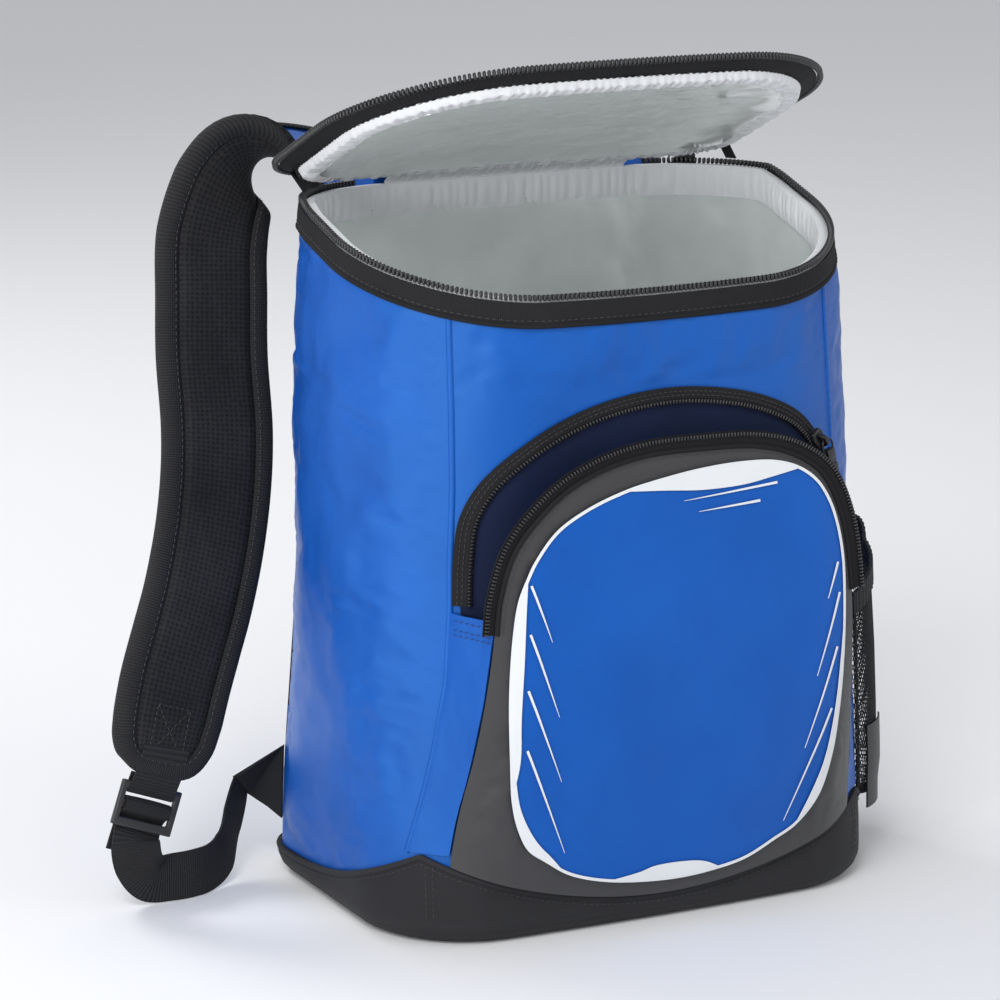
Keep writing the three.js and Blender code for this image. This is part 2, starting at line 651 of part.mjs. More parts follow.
const borderTop = RIM_BACK + COLLAR_LIP + SEAT;
const liningTop = -2 * SEAT - LINER_WALL;
add('hinge_lining', sheetAlongX(hingeHalf - LINING_INSET, [
  new THREE.Vector3(0, back + linerOut - LINER_WALL / 2, borderTop + SEAT),
  new THREE.Vector3(0, back + linerOut - LINER_WALL, borderTop + LINER_WALL),
  onLid(0, LINING_TURN, liningTop - LINING_DROP),
  onLid(0, LINING_REACH, liningTop - LINING_DROP / 2),
], LINER_WALL), GREY, 0.9);

// Short tapes that join the two halves of the large zip beside the hinge

const ZIP_END_TURN = 3.6;

function zipEnd(turn) {
  const teethTop = teethLow + TEETH + SEAT;
  const low = wallPoint(1, turn, teethOut + TEETH / 2, teethTop);
  const high = lidPoint(turn, LID_TAPE_WIDTH / 2, lidTapeRise + LID_TAPE_FLARE / 2 - 4 * SEAT);
  const along = wallPoint(1, turn + 0.05, 0).sub(wallPoint(1, turn - 0.05, 0)).setZ(0);
  along.setLength(END_WIDTH / 2);
  const through = new THREE.Vector3(along.y, -along.x, 0).setLength(TAPE / 2);
  const ring = (point) => [[-1, -1], [1, -1], [1, 1], [-1, 1]].map(([a, b]) =>
    point.clone().addScaledVector(along, a).addScaledVector(through, b));
  return ringBody([ring(low), ring(high)]);
}

add('zip_end_left', zipEnd(ZIP_END_TURN), BLACK, 0.9);
add('zip_end_right', zipEnd(13 - ZIP_END_TURN), BLACK, 0.9);

// Thin binding down the back corners

const PIPING_TURN = 3.5;

function piping(middle) {
  const top = 1 - (MOUTH_TAPE_DEPTH + 2) / RIM_BACK;
  const bottom = shareAt(baseEdge(middle) + 1, middle);
  const shares = [bottom, ...SECTIONS.slice(1, -1).map((row) => row.height), top];
  return ringBody(shares.map((share) => [[-1, 0], [1, 0], [1, 1], [-1, 1]].map(([across, out]) =>
    wallPoint(share, middle + across * PIPING_WIDTH / 2, SEAT * 1.5 + out * TAPE))));
}

add('back_seam_left', piping(PIPING_TURN), BLACK, 0.9);
add('back_seam_right', piping(13 - PIPING_TURN), BLACK, 0.9);

// Front pocket

function frontOfBag(x, z) {
  let y = mouth.front;
  for (let i = 0; i < 3; i++) {
    const share = (z - footTop) / (rimHeight(y) - footTop);
    const { half, front, frontCorner, bow } = sectionAt(share);
    const past = Math.min(Math.max(Math.abs(x) - half + frontCorner, 0), frontCorner - 1);
    const flat = front + frontCorner - Math.sqrt(frontCorner ** 2 - past ** 2);
    const forward = THREE.MathUtils.clamp((back - flat) / (back - front), 0, 1);
    y = flat - bow * (1 - (x / half) ** 2) * forward;
  }
  return y;
}

function frontOfPocket(x, z) {
  const height = z / POCKET_HEIGHT;
  const edge = read(POCKET_SWELL, 'edge', height) * Math.abs(2 * x / POCKET_WIDTH) ** 3;
  return frontOfBag(x, z) - baseOut - POCKET_STAND * read(POCKET_SWELL, 'middle', height) * (1 - edge);
}

// A closed or open line through the rows of a table, sampled evenly

function throughRows(rows, toPoint, count, closed = false) {
  const curve = new THREE.CatmullRomCurve3(rows.map(toPoint), closed, 'centripetal');
  const points = curve.getSpacedPoints(count);
  return closed ? points.slice(0, count) : points;
}

const inPocketShares = ({ across, height }) =>
  new THREE.Vector3(across * POCKET_WIDTH / 2, 0, height * POCKET_HEIGHT);

// A patch of cloth laid over the pocket's front, between two stand-offs from it

function patch(edgePoints, middle, shares, bottom, top) {
  const ring = (share, off) => edgePoints.map((point) => {
    const { x, z } = middle.clone().lerp(point, share);
    return new THREE.Vector3(x, frontOfPocket(x, z) - off, z);
  });
  const over = shares.map((share) => ring(share, top));
  const under = shares.map((share) => ring(share, bottom));
  return ringBody([...over.reverse(), ...under]);
}

// Turn on the base's outline that lies at x along the front

function turnAtFront(x) {
  let low = 5;
  let high = 8;
  for (let i = 0; i < 30; i++) {
    const middle = (low + high) / 2;
    if (outline(sectionAt(0), middle).x < x) low = middle;
    else high = middle;
  }
  return low;
}

const EDGE_STEPS = 28;
const HEM_STEPS = 10;
const pocketArch = throughRows(POCKET_EDGE, inPocketShares, EDGE_STEPS);
const hem = Array.from({ length: HEM_STEPS - 1 }, (_, i) => {
  const x = POCKET_WIDTH / 2 * (1 - 2 * (i + 1) / HEM_STEPS);
  return new THREE.Vector3(x, 0, baseEdge(turnAtFront(x)) + 2 * SEAT);
});
const pocketMiddle = new THREE.Vector3(0, 0, POCKET_HEIGHT * POCKET_MIDDLE);
const pocketLoop = [...pocketArch, ...hem];
pocketLoop[0].z = baseEdge(turnAtFront(pocketLoop[0].x)) + 2 * SEAT;
pocketLoop[EDGE_STEPS].z = pocketLoop[0].z;
add('pocket_front', patch(pocketLoop, pocketMiddle, [1, 0.9, 0.75, 0.58, 0.4, 0.2], -CLOTH, 0),
  CHARCOAL, 0.4);

const TRIM_STEPS = 32;
const trimLoop = throughRows(TRIM_EDGE, inPocketShares, TRIM_STEPS, true);
const insertLoop = trimLoop.map((point) => pocketMiddle.clone().lerp(point, INSERT_SHARE));
const trimRings = trimLoop.map((point, i) => {
  const at = ({ x, z }, off) => new THREE.Vector3(x, frontOfPocket(x, z) - off, z);
  const inner = insertLoop[i].clone().lerp(point, TRIM_CLEAR);
  return [at(inner, TRIM_SEAT), at(inner, TRIM_SEAT + TRIM), at(point, TRIM_SEAT + TRIM), at(point, TRIM_SEAT)];
});
add('pocket_trim', ringBody(trimRings, true), WHITE, 0.5);
add('pocket_panel', patch(insertLoop, pocketMiddle, [1, 0.8, 0.6, 0.4, 0.2], TRIM_SEAT, TRIM_SEAT + TRIM),
  BLUE, 0.5);

// Side strips of the pocket, from the front seams to the pocket's side edges

function edgeAcross(z) {
  const rows = POCKET_EDGE.slice(0, 7);
  return read(rows, 'across', z / POCKET_HEIGHT) * -POCKET_WIDTH / 2;
}

const GUSSET_ROWS = 8;

function gusset(side) {
  const columns = [0, 0.25, 0.5, 0.75, 1];
  const rings = columns.map((share) => {
    const face = (off) => Array.from({ length: GUSSET_ROWS + 1 }, (_, i) => {
      const seamBottom = BASE_LOW + BASE_RISE + 1;
      const z = seamBottom + (GUSSET_TOP - seamBottom) * i / GUSSET_ROWS;
      const seam = read(FRONT_SEAM, 'across', z / RIM_FRONT) * BAG_WIDTH / 2;
      const edge = edgeAcross(z) - 1;
      const x = seam + (edge - seam) * share;
      const out = frontOfBag(seam, z) - SEAT;
      const standing = frontOfPocket(edge, z) + 2 * CLOTH + GUSSET_SEAT;
      const y = out + (standing - out) * share ** 0.8;
      return new THREE.Vector3(side * (x + off), y - off * 0.4, z);
    });
    return [...face(0), ...face(CLOTH).reverse()];
  });
  return ringBody(rings);
}

add('pocket_gusset_left', gusset(-1), BLUE, 0.6);
add('pocket_gusset_right', gusset(1), BLUE, 0.6);

// The pocket's zip: one half on the bag, the other on the pocket's edge

const inArchShares = ({ across, height }) =>
  new THREE.Vector3(across * POCKET_WIDTH / 2, 0, ARCH_FOOT + height * (ARCH_TOP - ARCH_FOOT));

const ARCH_STEPS = 34;
const archLine = throughRows(ARCH, inArchShares, ARCH_STEPS);
const archCentre = new THREE.Vector3(0, 0, ARCH_FOOT * 0.6);

function inward(line, i, distance) {
  const ahead = line[Math.min(i + 1, line.length - 1)].clone().sub(line[Math.max(i - 1, 0)]);
  const side = new THREE.Vector3(ahead.z, 0, -ahead.x).setLength(distance);
  return line[i].clone().add(side);
}

function archBand(from, to, bottom, top) {
  return ringBody(archLine.map((_, i) => {
    const a = inward(archLine, i, from);
    const b = inward(archLine, i, to);
    const at = ({ x, z }, off) => new THREE.Vector3(x, frontOfBag(x, z) - off, z);
    return [at(a, bottom), at(a, top), at(b, top), at(b, bottom)];
  }));
}

add('pocket_zip_tape_outer', archBand(0, POCKET_TAPE, 2 * SEAT, 2 * SEAT + TAPE), BLACK, 0.9);
const archTeeth = 2 * SEAT + TAPE + SEAT;
add('pocket_zip_teeth_outer', archBand(POCKET_TAPE - POCKET_TEETH, POCKET_TAPE, archTeeth,
  archTeeth + POCKET_TEETH), BLACK, 0.45);

const zipEdge = pocketArch.filter((point) => point.z > GUSSET_TOP);

function pocketBand(from, to, bottom, top) {
  return ringBody(zipEdge.map((_, i) => {
    const a = inward(zipEdge, i, -from);
    const b = inward(zipEdge, i, -to);
    const y = frontOfPocket(zipEdge[i].x, zipEdge[i].z);
    const at = ({ x, z }, off) => new THREE.Vector3(x, y - off, z);
    return [at(a, bottom), at(a, top), at(b, top), at(b, bottom)];
  }));
}

const innerTape = POCKET_TAPE * 0.8;
add('pocket_zip_tape_inner', pocketBand(SEAT, SEAT + innerTape, -CLOTH, TAPE - CLOTH), BLACK, 0.9);
const innerTeeth = TAPE - CLOTH + SEAT;
add('pocket_zip_teeth_inner', pocketBand(SEAT + innerTape - POCKET_TEETH, SEAT + innerTape, innerTeeth,
  innerTeeth + POCKET_TEETH), BLACK, 0.45);

// A slider that stands on a zip's teeth, with a ring through its bridge and a ribbed pull on
// the ring. It points along the zip; the pull goes its own way in the ring's plane.

function rectangle(shape, left, right, low, high) {
  return shape.moveTo(left, low).lineTo(right, low).lineTo(right, high).lineTo(left, high).closePath();
}

function polygon(points) {
  return new THREE.Shape(points.map(([x, y]) => new THREE.Vector2(x, y)));
}

function standing(shape, depth) {
  const geometry = new THREE.ExtrudeGeometry(shape, { depth, bevelEnabled: false });
  return geometry.translate(0, 0, -depth / 2);
}

function slider(name, seat, along, out, pullWay) {
  const upright = (ahead, origin) =>
    new THREE.Matrix4().makeBasis(ahead, out, ahead.clone().cross(out)).setPosition(origin);
  const lying = (origin) =>
    new THREE.Matrix4().makeBasis(along, out.clone().cross(along), out).setPosition(origin);
  const above = (distance) => seat.clone().addScaledVector(out, distance);

  const tail = SLIDER_LENGTH / 2;
  const plate = polygon([[-tail, -SLIDER_WIDTH * 0.35], [-tail * 0.4, -SLIDER_WIDTH / 2],
    [tail, -SLIDER_WIDTH * 0.35], [tail, SLIDER_WIDTH * 0.35], [-tail * 0.4, SLIDER_WIDTH / 2],
    [-tail, SLIDER_WIDTH * 0.35]]);
  add(`${name}_slider`, standing(plate, SLIDER_PLATE), METAL, 0.4, 0.8)
    .applyMatrix4(lying(above(SLIDER_PLATE / 2)));

  const foot = SLIDER_PLATE + SEAT;
  const gap = 2 * RING_WIRE + 1;
  const crest = gap + 2 * BRIDGE;
  const bridge = polygon([[-tail * 0.75, 0], [tail * 0.75, 0], [tail * 0.45, crest], [-tail * 0.45, crest]]);
  bridge.holes.push(rectangle(new THREE.Path(), -gap / 2, gap / 2, BRIDGE, BRIDGE + gap));
  add(`${name}_slider_bridge`, standing(bridge, BRIDGE_WIDTH), METAL, 0.4, 0.8)
    .applyMatrix4(upright(along, above(foot)));

  const middle = above(foot + BRIDGE + gap / 2).addScaledVector(along, RING_RADIUS);
  const ring = new THREE.TorusGeometry(RING_RADIUS, RING_WIRE, RING_SIDES, RING_STEPS);
  add(`${name}_pull_ring`, ring, METAL, 0.35, 0.9).applyMatrix4(lying(middle));

  const bend = RING_RADIUS - Math.sqrt(RING_RADIUS ** 2 - (PULL_WIDTH / 2) ** 2);
  const eye = RING_WIRE + SEAT;
  const pitch = PULL_LENGTH / PULL_RIBS;
  const ribs = Array.from({ length: PULL_RIBS }, (_, i) => [
    [i * pitch + 2 * eye, PULL / 2 - PULL_RIB],
    [(i + 0.4) * pitch + 2 * eye, PULL / 2 - PULL_RIB],
    [(i + 0.4) * pitch + 2 * eye, PULL / 2],
    [(i + 1) * pitch + 2 * eye, PULL / 2],
  ]).flat();
  const lower = [[-bend - 2 * eye, PULL / 2], [2 * eye, PULL / 2], ...ribs];
  const pull = polygon([...lower.map(([x, y]) => [x, -y]), ...lower.reverse()]);
  pull.holes.push(rectangle(new THREE.Path(), -bend - eye, eye, -eye, eye));
  add(`${name}_puller`, standing(pull, PULL_WIDTH), DARK, 0.6)
    .applyMatrix4(upright(pullWay, middle.addScaledVector(pullWay, RING_RADIUS)));
}

function onFront(x, z, off) {
  return new THREE.Vector3(x, frontOfBag(x, z) - off, z);
}

const slid = inward(archLine, SLIDER_STEP, SLIDER_INSET);
const near = 2;
const frontOut = onFront(slid.x + near, slid.z, 0).sub(onFront(slid.x - near, slid.z, 0))
  .cross(onFront(slid.x, slid.z + near, 0).sub(onFront(slid.x, slid.z - near, 0))).normalize();
const alongArch = archLine[SLIDER_STEP + 1].clone().sub(archLine[SLIDER_STEP - 1])
  .projectOnPlane(frontOut).normalize();
const hanging = new THREE.Vector3(PULL_LEAN, 0, -1).projectOnPlane(frontOut).normalize();
slider('pocket', onFront(slid.x, slid.z, archTeeth + POCKET_TEETH + SEAT), alongArch, frontOut, hanging);

// The large zip's slider rests at its right end, behind the back corner

const MOUTH_SLIDER_TURN = 9.66;
const mouthSeat = (turn) =>
  wallPoint(1, turn, teethOut + TEETH + SEAT, teethLow + TEETH / 2);
const alongMouth = mouthSeat(MOUTH_SLIDER_TURN + 0.05).sub(mouthSeat(MOUTH_SLIDER_TURN - 0.05))
  .setZ(0).normalize();
const down = new THREE.Vector3(0, 0, -1);
slider('mouth', mouthSeat(MOUTH_SLIDER_TURN), alongMouth, down.clone().cross(alongMouth), down);

// Net pocket on the right side, walked from the front seam to the back corner

const MESH_START = 7.6;
const MESH_END = 9.25;
const MESH_ROWS = [
  { height: 0.00, swell: 0.00, sag: 0.0, lift: 1.0 },
  { height: 0.02, swell: 0.55, sag: 1.0, lift: 1.0 },
  { height: 0.06, swell: 0.86, sag: 0.9, lift: 0.6 },
  { height: 0.16, swell: 0.96, sag: 0.4, lift: 0.0 },
  { height: 0.40, swell: 1.00, sag: 0.0, lift: 0.0 },
  { height: 0.70, swell: 1.00, sag: 0.0, lift: 0.0 },
  { height: 1.00, swell: 0.94, sag: 0.0, lift: 0.0 },
];
const meshTurns = turnsBetween(MESH_START, MESH_END);
const meshShare = (turn) => (turn - MESH_START) / (MESH_END - MESH_START);
const meshSwell = (turn) => MESH_BULGE * Math.sin(Math.PI * meshShare(turn)) ** 0.8;
const meshSeam = (turn) => baseEdge(turn) + 1;
const meshMouth = (turn) =>
  MESH_FRONT + MESH_RISE * Math.sin(Math.min(1, 2 * meshShare(turn)) * Math.PI / 2);

function atHeight(z, turn, out) {
  const guess = shareAt(z, turn);
  const { yOnWall } = outline(sectionAt(guess), turn);
  return wallPoint((z - footTop) / (rimHeight(yOnWall) - footTop), turn, out);
}

const netTop = (turn) => meshMouth(turn) - BAND_HEIGHT - SEAT;

add('side_mesh_pocket', ringBody(meshTurns.map((turn) => {
  const swell = Math.max(0, meshSwell(turn));
  const hang = Math.sin(Math.PI * meshShare(turn)) * MESH_SAG;
  const level = (row) => meshSeam(turn) + row.height * (netTop(turn) - meshSeam(turn)) - hang * row.sag;
  const outside = MESH_ROWS.map((row) =>
    atHeight(level(row), turn, 2 * SEAT + swell * row.swell + (row.swell > 0 ? MESH : 0)));
  const inside = MESH_ROWS.map((row) =>
    atHeight(level(row) + MESH * row.lift, turn, 2 * SEAT + swell * row.swell));
  return [...outside, ...inside.reverse()];
})), BLACK, 0.8);

const mouthSwell = MESH_ROWS[MESH_ROWS.length - 1].swell;
add('mesh_pocket_band', ringBody(meshTurns.map((turn) => {
  const out = 2 * SEAT + Math.max(0, meshSwell(turn)) * mouthSwell;
  const top = meshMouth(turn);
  return [
    atHeight(top - BAND_HEIGHT, turn, out),
    atHeight(top - BAND_HEIGHT, turn, out + BAND),
    atHeight(top, turn, out + BAND),
    atHeight(top, turn, out),
  ];
})), DARK, 0.85);

// Plain tag sewn beside the front seam of the net pocket

const TAG_TURNS = [7.65, 7.72, 7.80, 7.88];
const TAG_ROWS = 4;
const meshBody = MESH_ROWS.slice(2);

function tagPoint(turn, z, off) {
  const height = (z - meshSeam(turn)) / (netTop(turn) - meshSeam(turn));
  const swell = read(meshBody, 'swell', Math.max(height, meshBody[0].height));
  return atHeight(z, turn, 2 * SEAT + MESH + TAG_SEAT + meshSwell(turn) * swell + off);
}

add('side_tag', ringBody(TAG_TURNS.map((turn) => {
  const levels = Array.from({ length: TAG_ROWS + 1 }, (_, i) => TAG_FOOT + TAG_HEIGHT * i / TAG_ROWS);
  const outside = levels.map((z) => tagPoint(turn, z, TAG));
  const inside = levels.map((z) => tagPoint(turn, z, 0));
  return [...outside, ...inside.reverse()];
})), BLACK, 0.6);

// Shoulder straps: a frame at any share of the way along a table's rows

function strapPoint(side, { out, back: behind, up }) {
  return new THREE.Vector3(side * (BAG_WIDTH / 2 + out * STRAP_REACH), back + behind * STRAP_STAND,
    up * RIM_BACK);
}

function frames(points, rows, side) {
  const line = new THREE.CatmullRomCurve3(points, false, 'centripetal');
  return (share) => {
    const place = share * (rows.length - 1);
    const index = Math.min(Math.floor(place), rows.length - 2);
    const part = place - index;
    const blend = (column) => {
      const [low = 1, high = 1] = [rows[index][column], rows[index + 1][column]];
      return low + (high - low) * part;
    };
    const ahead = line.getTangent(share);
    const wanted = new THREE.Vector3(...rows[index].edge)
      .lerp(new THREE.Vector3(...rows[index + 1].edge), part);
    const face = ahead.clone().cross(wanted).setLength(-side);
    const edge = face.clone().cross(ahead).setLength(-side);
    return { centre: line.getPoint(share), edge, face, ahead, width: blend('width') * STRAP_WIDTH };
  };
}

function place({ centre, edge, face }, across, off) {
  return centre.clone().addScaledVector(edge, across).addScaledVector(face, off);
}

function ribbon(frame, steps, section) {
  return ringBody(Array.from({ length: steps + 1 }, (_, i) => {
    const here = frame(i / steps);
    return section(here).map(([across, off]) => place(here, across, off));
  }));
}

function padSection({ width }) {
  const half = width / 2;
  const thick = PAD / 2;
  const flank = half - PAD_EDGE;
  const bound = half - BINDING;
  return [[-half, 0], [-flank, -thick], [-bound, -thick], [bound, -thick], [flank, -thick],
    [half, 0], [flank, thick], [-flank, thick]];
}

function coverSection({ width }) {
  const half = width / 2 - PAD_EDGE;
  const low = PAD / 2 + SEAT;
  return [[half, low], [-half, low], [-half, low + COVER], [half, low + COVER]];
}

// The woven edge runs down one side of the pad, round its end and up the other side

function binding(frame, steps) {
  const sides = [-1, 1].map((side) => Array.from({ length: steps + 1 }, (_, i) => {
    const share = i / steps;
    const here = frame(share);
    const inset = Math.min(BINDING, here.width / 2 - 1);
    const pulled = Math.max(0, share - 1 + 2.2 / steps) * steps / 2.2;
    const within = frame(share - pulled * 3 / steps);
    const outer = side * (here.width / 2 - PAD_EDGE);
    const inner = side * Math.max(here.width / 2 - inset, 4) * (1 - 0.1 * pulled);
    return [here, outer, within, inner];
  }));
  const low = -PAD / 2 - SEAT;
  return ringBody([...sides[0], ...sides[1].reverse()].map(([here, outer, within, inner]) => [
    place(here, outer, low),
    place(here, outer, low - TAPE),
    place(within, inner, low - TAPE),
    place(within, inner, low),
  ]));
}

// Plastic slider with two slots and a middle bar

const slot = (BUCKLE_LENGTH - 3 * BUCKLE_BAR) / 2;

function buckleShape() {
  const halfWidth = BUCKLE_WIDTH / 2;
  const halfLength = BUCKLE_LENGTH / 2;
  const shape = rectangle(new THREE.Shape(), -halfWidth, halfWidth, -halfLength, halfLength);
  const slotHalf = WEBBING_WIDTH / 2 + 1;
  [BUCKLE_BAR - halfLength, BUCKLE_BAR / 2].forEach((low) => {
    shape.holes.push(rectangle(new THREE.Path(), -slotHalf, slotHalf, low, low + slot));
  });
  return standing(shape, BUCKLE);
}

function strap(name, rows, webbingRows, side, steps, cornerTurn) {
  const frame = frames(rows.map((row) => strapPoint(side, row)), rows, side);
  add(`strap_pad_${name}`, ribbon(frame, steps, padSection), BLACK, 0.9);
  add(`strap_cover_${name}`, ribbon(frame, steps, coverSection), BLUE, 0.6);
  add(`strap_binding_${name}`, binding(frame, steps), DARK, 0.8);

  const end = frame(1);
  const onward = (distance) => end.centre.clone().addScaledVector(end.ahead, distance);
  const flat = [[-1, -1], [1, -1], [1, 1], [-1, 1]];
  const webbing = flat.map(([a, b]) => [a * WEBBING_WIDTH / 2, b * WEBBING / 2]);
  const cut = (distance) => webbing.map(([a, b]) => place({ ...end, centre: onward(distance) }, a, b));
  add(`strap_tab_${name}`, ringBody([cut(SEAT), cut(TAB - SEAT)]), DARK, 0.85);

  const buckle = add(`strap_buckle_${name}`, buckleShape(), BLACK, 0.35);
  const basis = new THREE.Matrix4().makeBasis(end.edge, end.face.clone().cross(end.edge), end.face);
  buckle.applyMatrix4(basis.setPosition(onward(TAB + BUCKLE_LENGTH / 2)));

  const start = onward(TAB + BUCKLE_LENGTH + SEAT);
  const straight = start.clone().addScaledVector(end.ahead, STRAIGHT);
  const points = [start, straight, ...webbingRows.map((row) => strapPoint(side, row))];
  const level = { edge: end.edge.toArray() };
  const run = frames(points, [level, level, ...webbingRows], side);
  add(`strap_webbing_${name}`, ribbon(run, 2 * webbingRows.length + 2, () => webbing), DARK, 0.85);

  const tip = run(1);
  const reach = { ...tip, centre: tip.centre.clone().addScaledVector(tip.ahead, SEAT) };
  const outer = flat.map(([a, b]) => place(reach, a * WEBBING_WIDTH / 2, b * WEBBING));
  const upward = Math.sign(tip.edge.z);
  const inner = flat.map(([a, b]) => {
    const z = tip.centre.z + upward * a * ANCHOR_HEIGHT / 2;
    return atHeight(z, cornerTurn + side * b * ANCHOR_TURN, 2 * SEAT);
  });
  add(`strap_anchor_${name}`, ringBody([outer, inner]), DARK, 0.85);
}

strap('left', LEFT_STRAP, LEFT_WEBBING, -1, 26, 3.62);
strap('right', RIGHT_STRAP, RIGHT_WEBBING, 1, 20, 9.4);

export default bag;
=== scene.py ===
# %% [markdown]
# A soft cooler backpack stands on a pale floor with its lid propped open, its front pocket unzipped and
# one shoulder strap thrown out to the side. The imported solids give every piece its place. The pieces here
# give it cloth, film, net, webbing, zips and stitches. The frame is that of the solids: metres, +Z up,
# the pocket towards -Y, the straps on +Y. Sizes below are in millimetres and are turned to metres once,
# where a mesh gets its points.

# %% Load the solids
import math
import random

import bpy
import numpy as np
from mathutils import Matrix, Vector, noise


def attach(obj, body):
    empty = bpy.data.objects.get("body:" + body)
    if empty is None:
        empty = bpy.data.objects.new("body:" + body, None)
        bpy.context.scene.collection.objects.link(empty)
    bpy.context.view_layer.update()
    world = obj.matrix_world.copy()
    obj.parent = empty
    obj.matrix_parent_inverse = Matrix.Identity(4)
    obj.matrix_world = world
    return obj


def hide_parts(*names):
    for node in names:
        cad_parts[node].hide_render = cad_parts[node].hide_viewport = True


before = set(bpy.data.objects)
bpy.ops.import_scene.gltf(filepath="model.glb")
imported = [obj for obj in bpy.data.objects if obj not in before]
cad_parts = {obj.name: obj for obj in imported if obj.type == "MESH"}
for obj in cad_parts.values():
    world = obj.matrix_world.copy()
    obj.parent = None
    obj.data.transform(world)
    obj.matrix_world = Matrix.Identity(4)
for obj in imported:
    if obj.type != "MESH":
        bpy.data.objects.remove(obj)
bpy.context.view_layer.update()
MM = 0.001
random.seed(7)

# %% [markdown]
# The camera comes first, because every later choice is judged through it. A long lens keeps the bag's
# sides almost parallel, as in a product picture. It looks down a little from the bag's left front.

# %% Camera
camera = bpy.data.objects.new("camera", bpy.data.cameras.new("camera"))
bpy.context.collection.objects.link(camera)
camera.location = (-0.9343, -1.8063, 0.6645)
camera.rotation_euler = Vector((0.44678, 0.86663, -0.22213)).to_track_quat("-Z", "Y").to_euler()
camera.data.lens = 148.58
camera.data.sensor_width = 36
camera.data.shift_x = -0.0724
camera.data.shift_y = -0.0117
bpy.context.scene.camera = camera
print("camera:", tuple(camera.location), "lens", camera.data.lens)

# %% [markdown]
# ## The bag's form
# The walls are one outline that is walked round the bag. A turn of 0 to 1 is the right side, then a back
# corner, the back, a back corner, the left side, a front corner, the front and a front corner. The table
# gives the outline at eight heights, and it is eased so that no crease shows where two rows meet.

# %% Outline of the walls
BAG_WIDTH, BAG_DEPTH = 280.0, 173.0
RIM_FRONT, RIM_BACK, RIM_SLOPE = 315.0, 347.0, math.tan(math.radians(15.6))
FRONT_CORNER, BACK_CORNER, FRONT_BOW, FOOT_ROUND = 75.0, 62.0, 10.0, 10.0
WALL, CLOTH, SEAT = 4.5, 1.6, 0.3
BACK = BAG_DEPTH / 2
FOOT_TOP = CLOTH + SEAT + FOOT_ROUND
HEIGHTS = [0, 0.13, 0.25, 0.42, 0.57, 0.70, 0.85, 1]
WIDTHS = [0.985, 0.989, 0.993, 0.997, 1, 0.997, 0.976, 0.954]
FRONTS = [1, 0.985, 0.970, 0.950, 0.930, 0.915, 0.895, 0.873]
FRONT_CORNERS = [0.72, 0.76, 0.80, 0.86, 0.91, 0.94, 0.97, 1]
BACK_CORNERS = [0.45, 0.53, 0.69, 0.89, 0.97, 0.97, 0.98, 1]
BOWS = [0.50, 0.55, 0.60, 0.70, 0.80, 0.85, 0.95, 1]
DENSE = np.linspace(0, 1, 101)


def eased(heights, values):
    dense = np.interp(DENSE, heights, values)
    before, after = 2 * dense[0] - dense[8:0:-1], 2 * dense[-1] - dense[-2:-10:-1]
    return np.convolve(np.concatenate([before, dense, after]), np.ones(17) / 17, "valid")


FORM = [eased(HEIGHTS, column) * size for column, size in (
    (WIDTHS, BAG_WIDTH / 2), (FRONTS, -BAG_DEPTH / 2), (FRONT_CORNERS, FRONT_CORNER),
    (BACK_CORNERS, BACK_CORNER), (BOWS, FRONT_BOW))]


def section(share):
    return [np.interp(share, DENSE, column) for column in FORM]


def outline(form, turn, out=0.0):
    half, front, front_corner, back_corner, bow = form
    lap = np.mod(turn, 8.0)
    stretch = np.floor(lap)
    part = lap - stretch
    corner = np.mod(stretch, 2) == 1
    rear = stretch < 4
    radius = np.where(rear, back_corner, front_corner)
    angle = np.radians(np.where(corner, 45 * (stretch - 1) + 90 * part, 45 * stretch))
    side = np.where((stretch == 1) | (stretch == 7), 1, -1)
    across = [half, (half - back_corner) * (1 - 2 * part), -half, (half - front_corner) * (2 * part - 1)]
    low, high = front + front_corner, BACK - back_corner
    deep = [low + (high - low) * part, BACK, high + (low - high) * part, front]
    straight = [stretch == 0, stretch == 2, stretch == 4, stretch == 6]
    x = np.where(corner, side * (half - radius) + radius * np.cos(angle), np.select(straight, across))
    middle = np.where(rear, BACK - radius, front + radius)
    y = np.where(corner, middle + radius * np.sin(angle), np.select(straight, deep))
    forward = np.clip((BACK - y) / (BACK - front), 0, 1)
    on_wall = y - bow * (1 - (x / half) ** 2) * forward
    return x + out * np.cos(angle), on_wall + out * np.sin(angle), on_wall


MOUTH = [float(v) for v in section(1.0)]


def xyz(*columns):
    return np.stack(np.broadcast_arrays(*columns), -1)


def travelled(points):
    """Length walked along a line of points, at each point."""
    return np.concatenate([[0], np.cumsum(np.linalg.norm(np.diff(points, axis=0), axis=1))])


def read_off(at, places, table):
    """Rows of a table at any places, eased straight between its own."""
    return np.stack([np.interp(at, places, column) for column in table.T], -1)


def along(share, table):
    """Rows of a table at shares of 0 to 1 of its length."""
    return read_off(share * (len(table) - 1), np.arange(len(table)), table)


def rim(y):
    return np.minimum(RIM_FRONT + (y - MOUTH[1]) * RIM_SLOPE, RIM_BACK)


def wall(share, turn, out=0.0, lift=0.0):
    x, y, on_wall = outline(section(share), turn, out)
    return xyz(x, y, FOOT_TOP + share * (rim(on_wall) - FOOT_TOP) + lift)


def share_at(z, turn):
    on_wall = outline(section(0.0), turn)[2]
    guess = (z - FOOT_TOP) / (rim(on_wall) - FOOT_TOP)
    on_wall = outline(section(guess), turn)[2]
    return (z - FOOT_TOP) / (rim(on_wall) - FOOT_TOP)


def foot(turn, out, degrees):
    radius = FOOT_ROUND + out
    x, y, _ = outline(section(0.0), turn, radius * np.sin(np.radians(degrees)) - FOOT_ROUND)
    return xyz(x, y, FOOT_TOP - radius * np.cos(np.radians(degrees)))


lap = np.linspace(0, 8, 4001)
walked = travelled(wall(0.5, lap))
BEHIND = 2.5


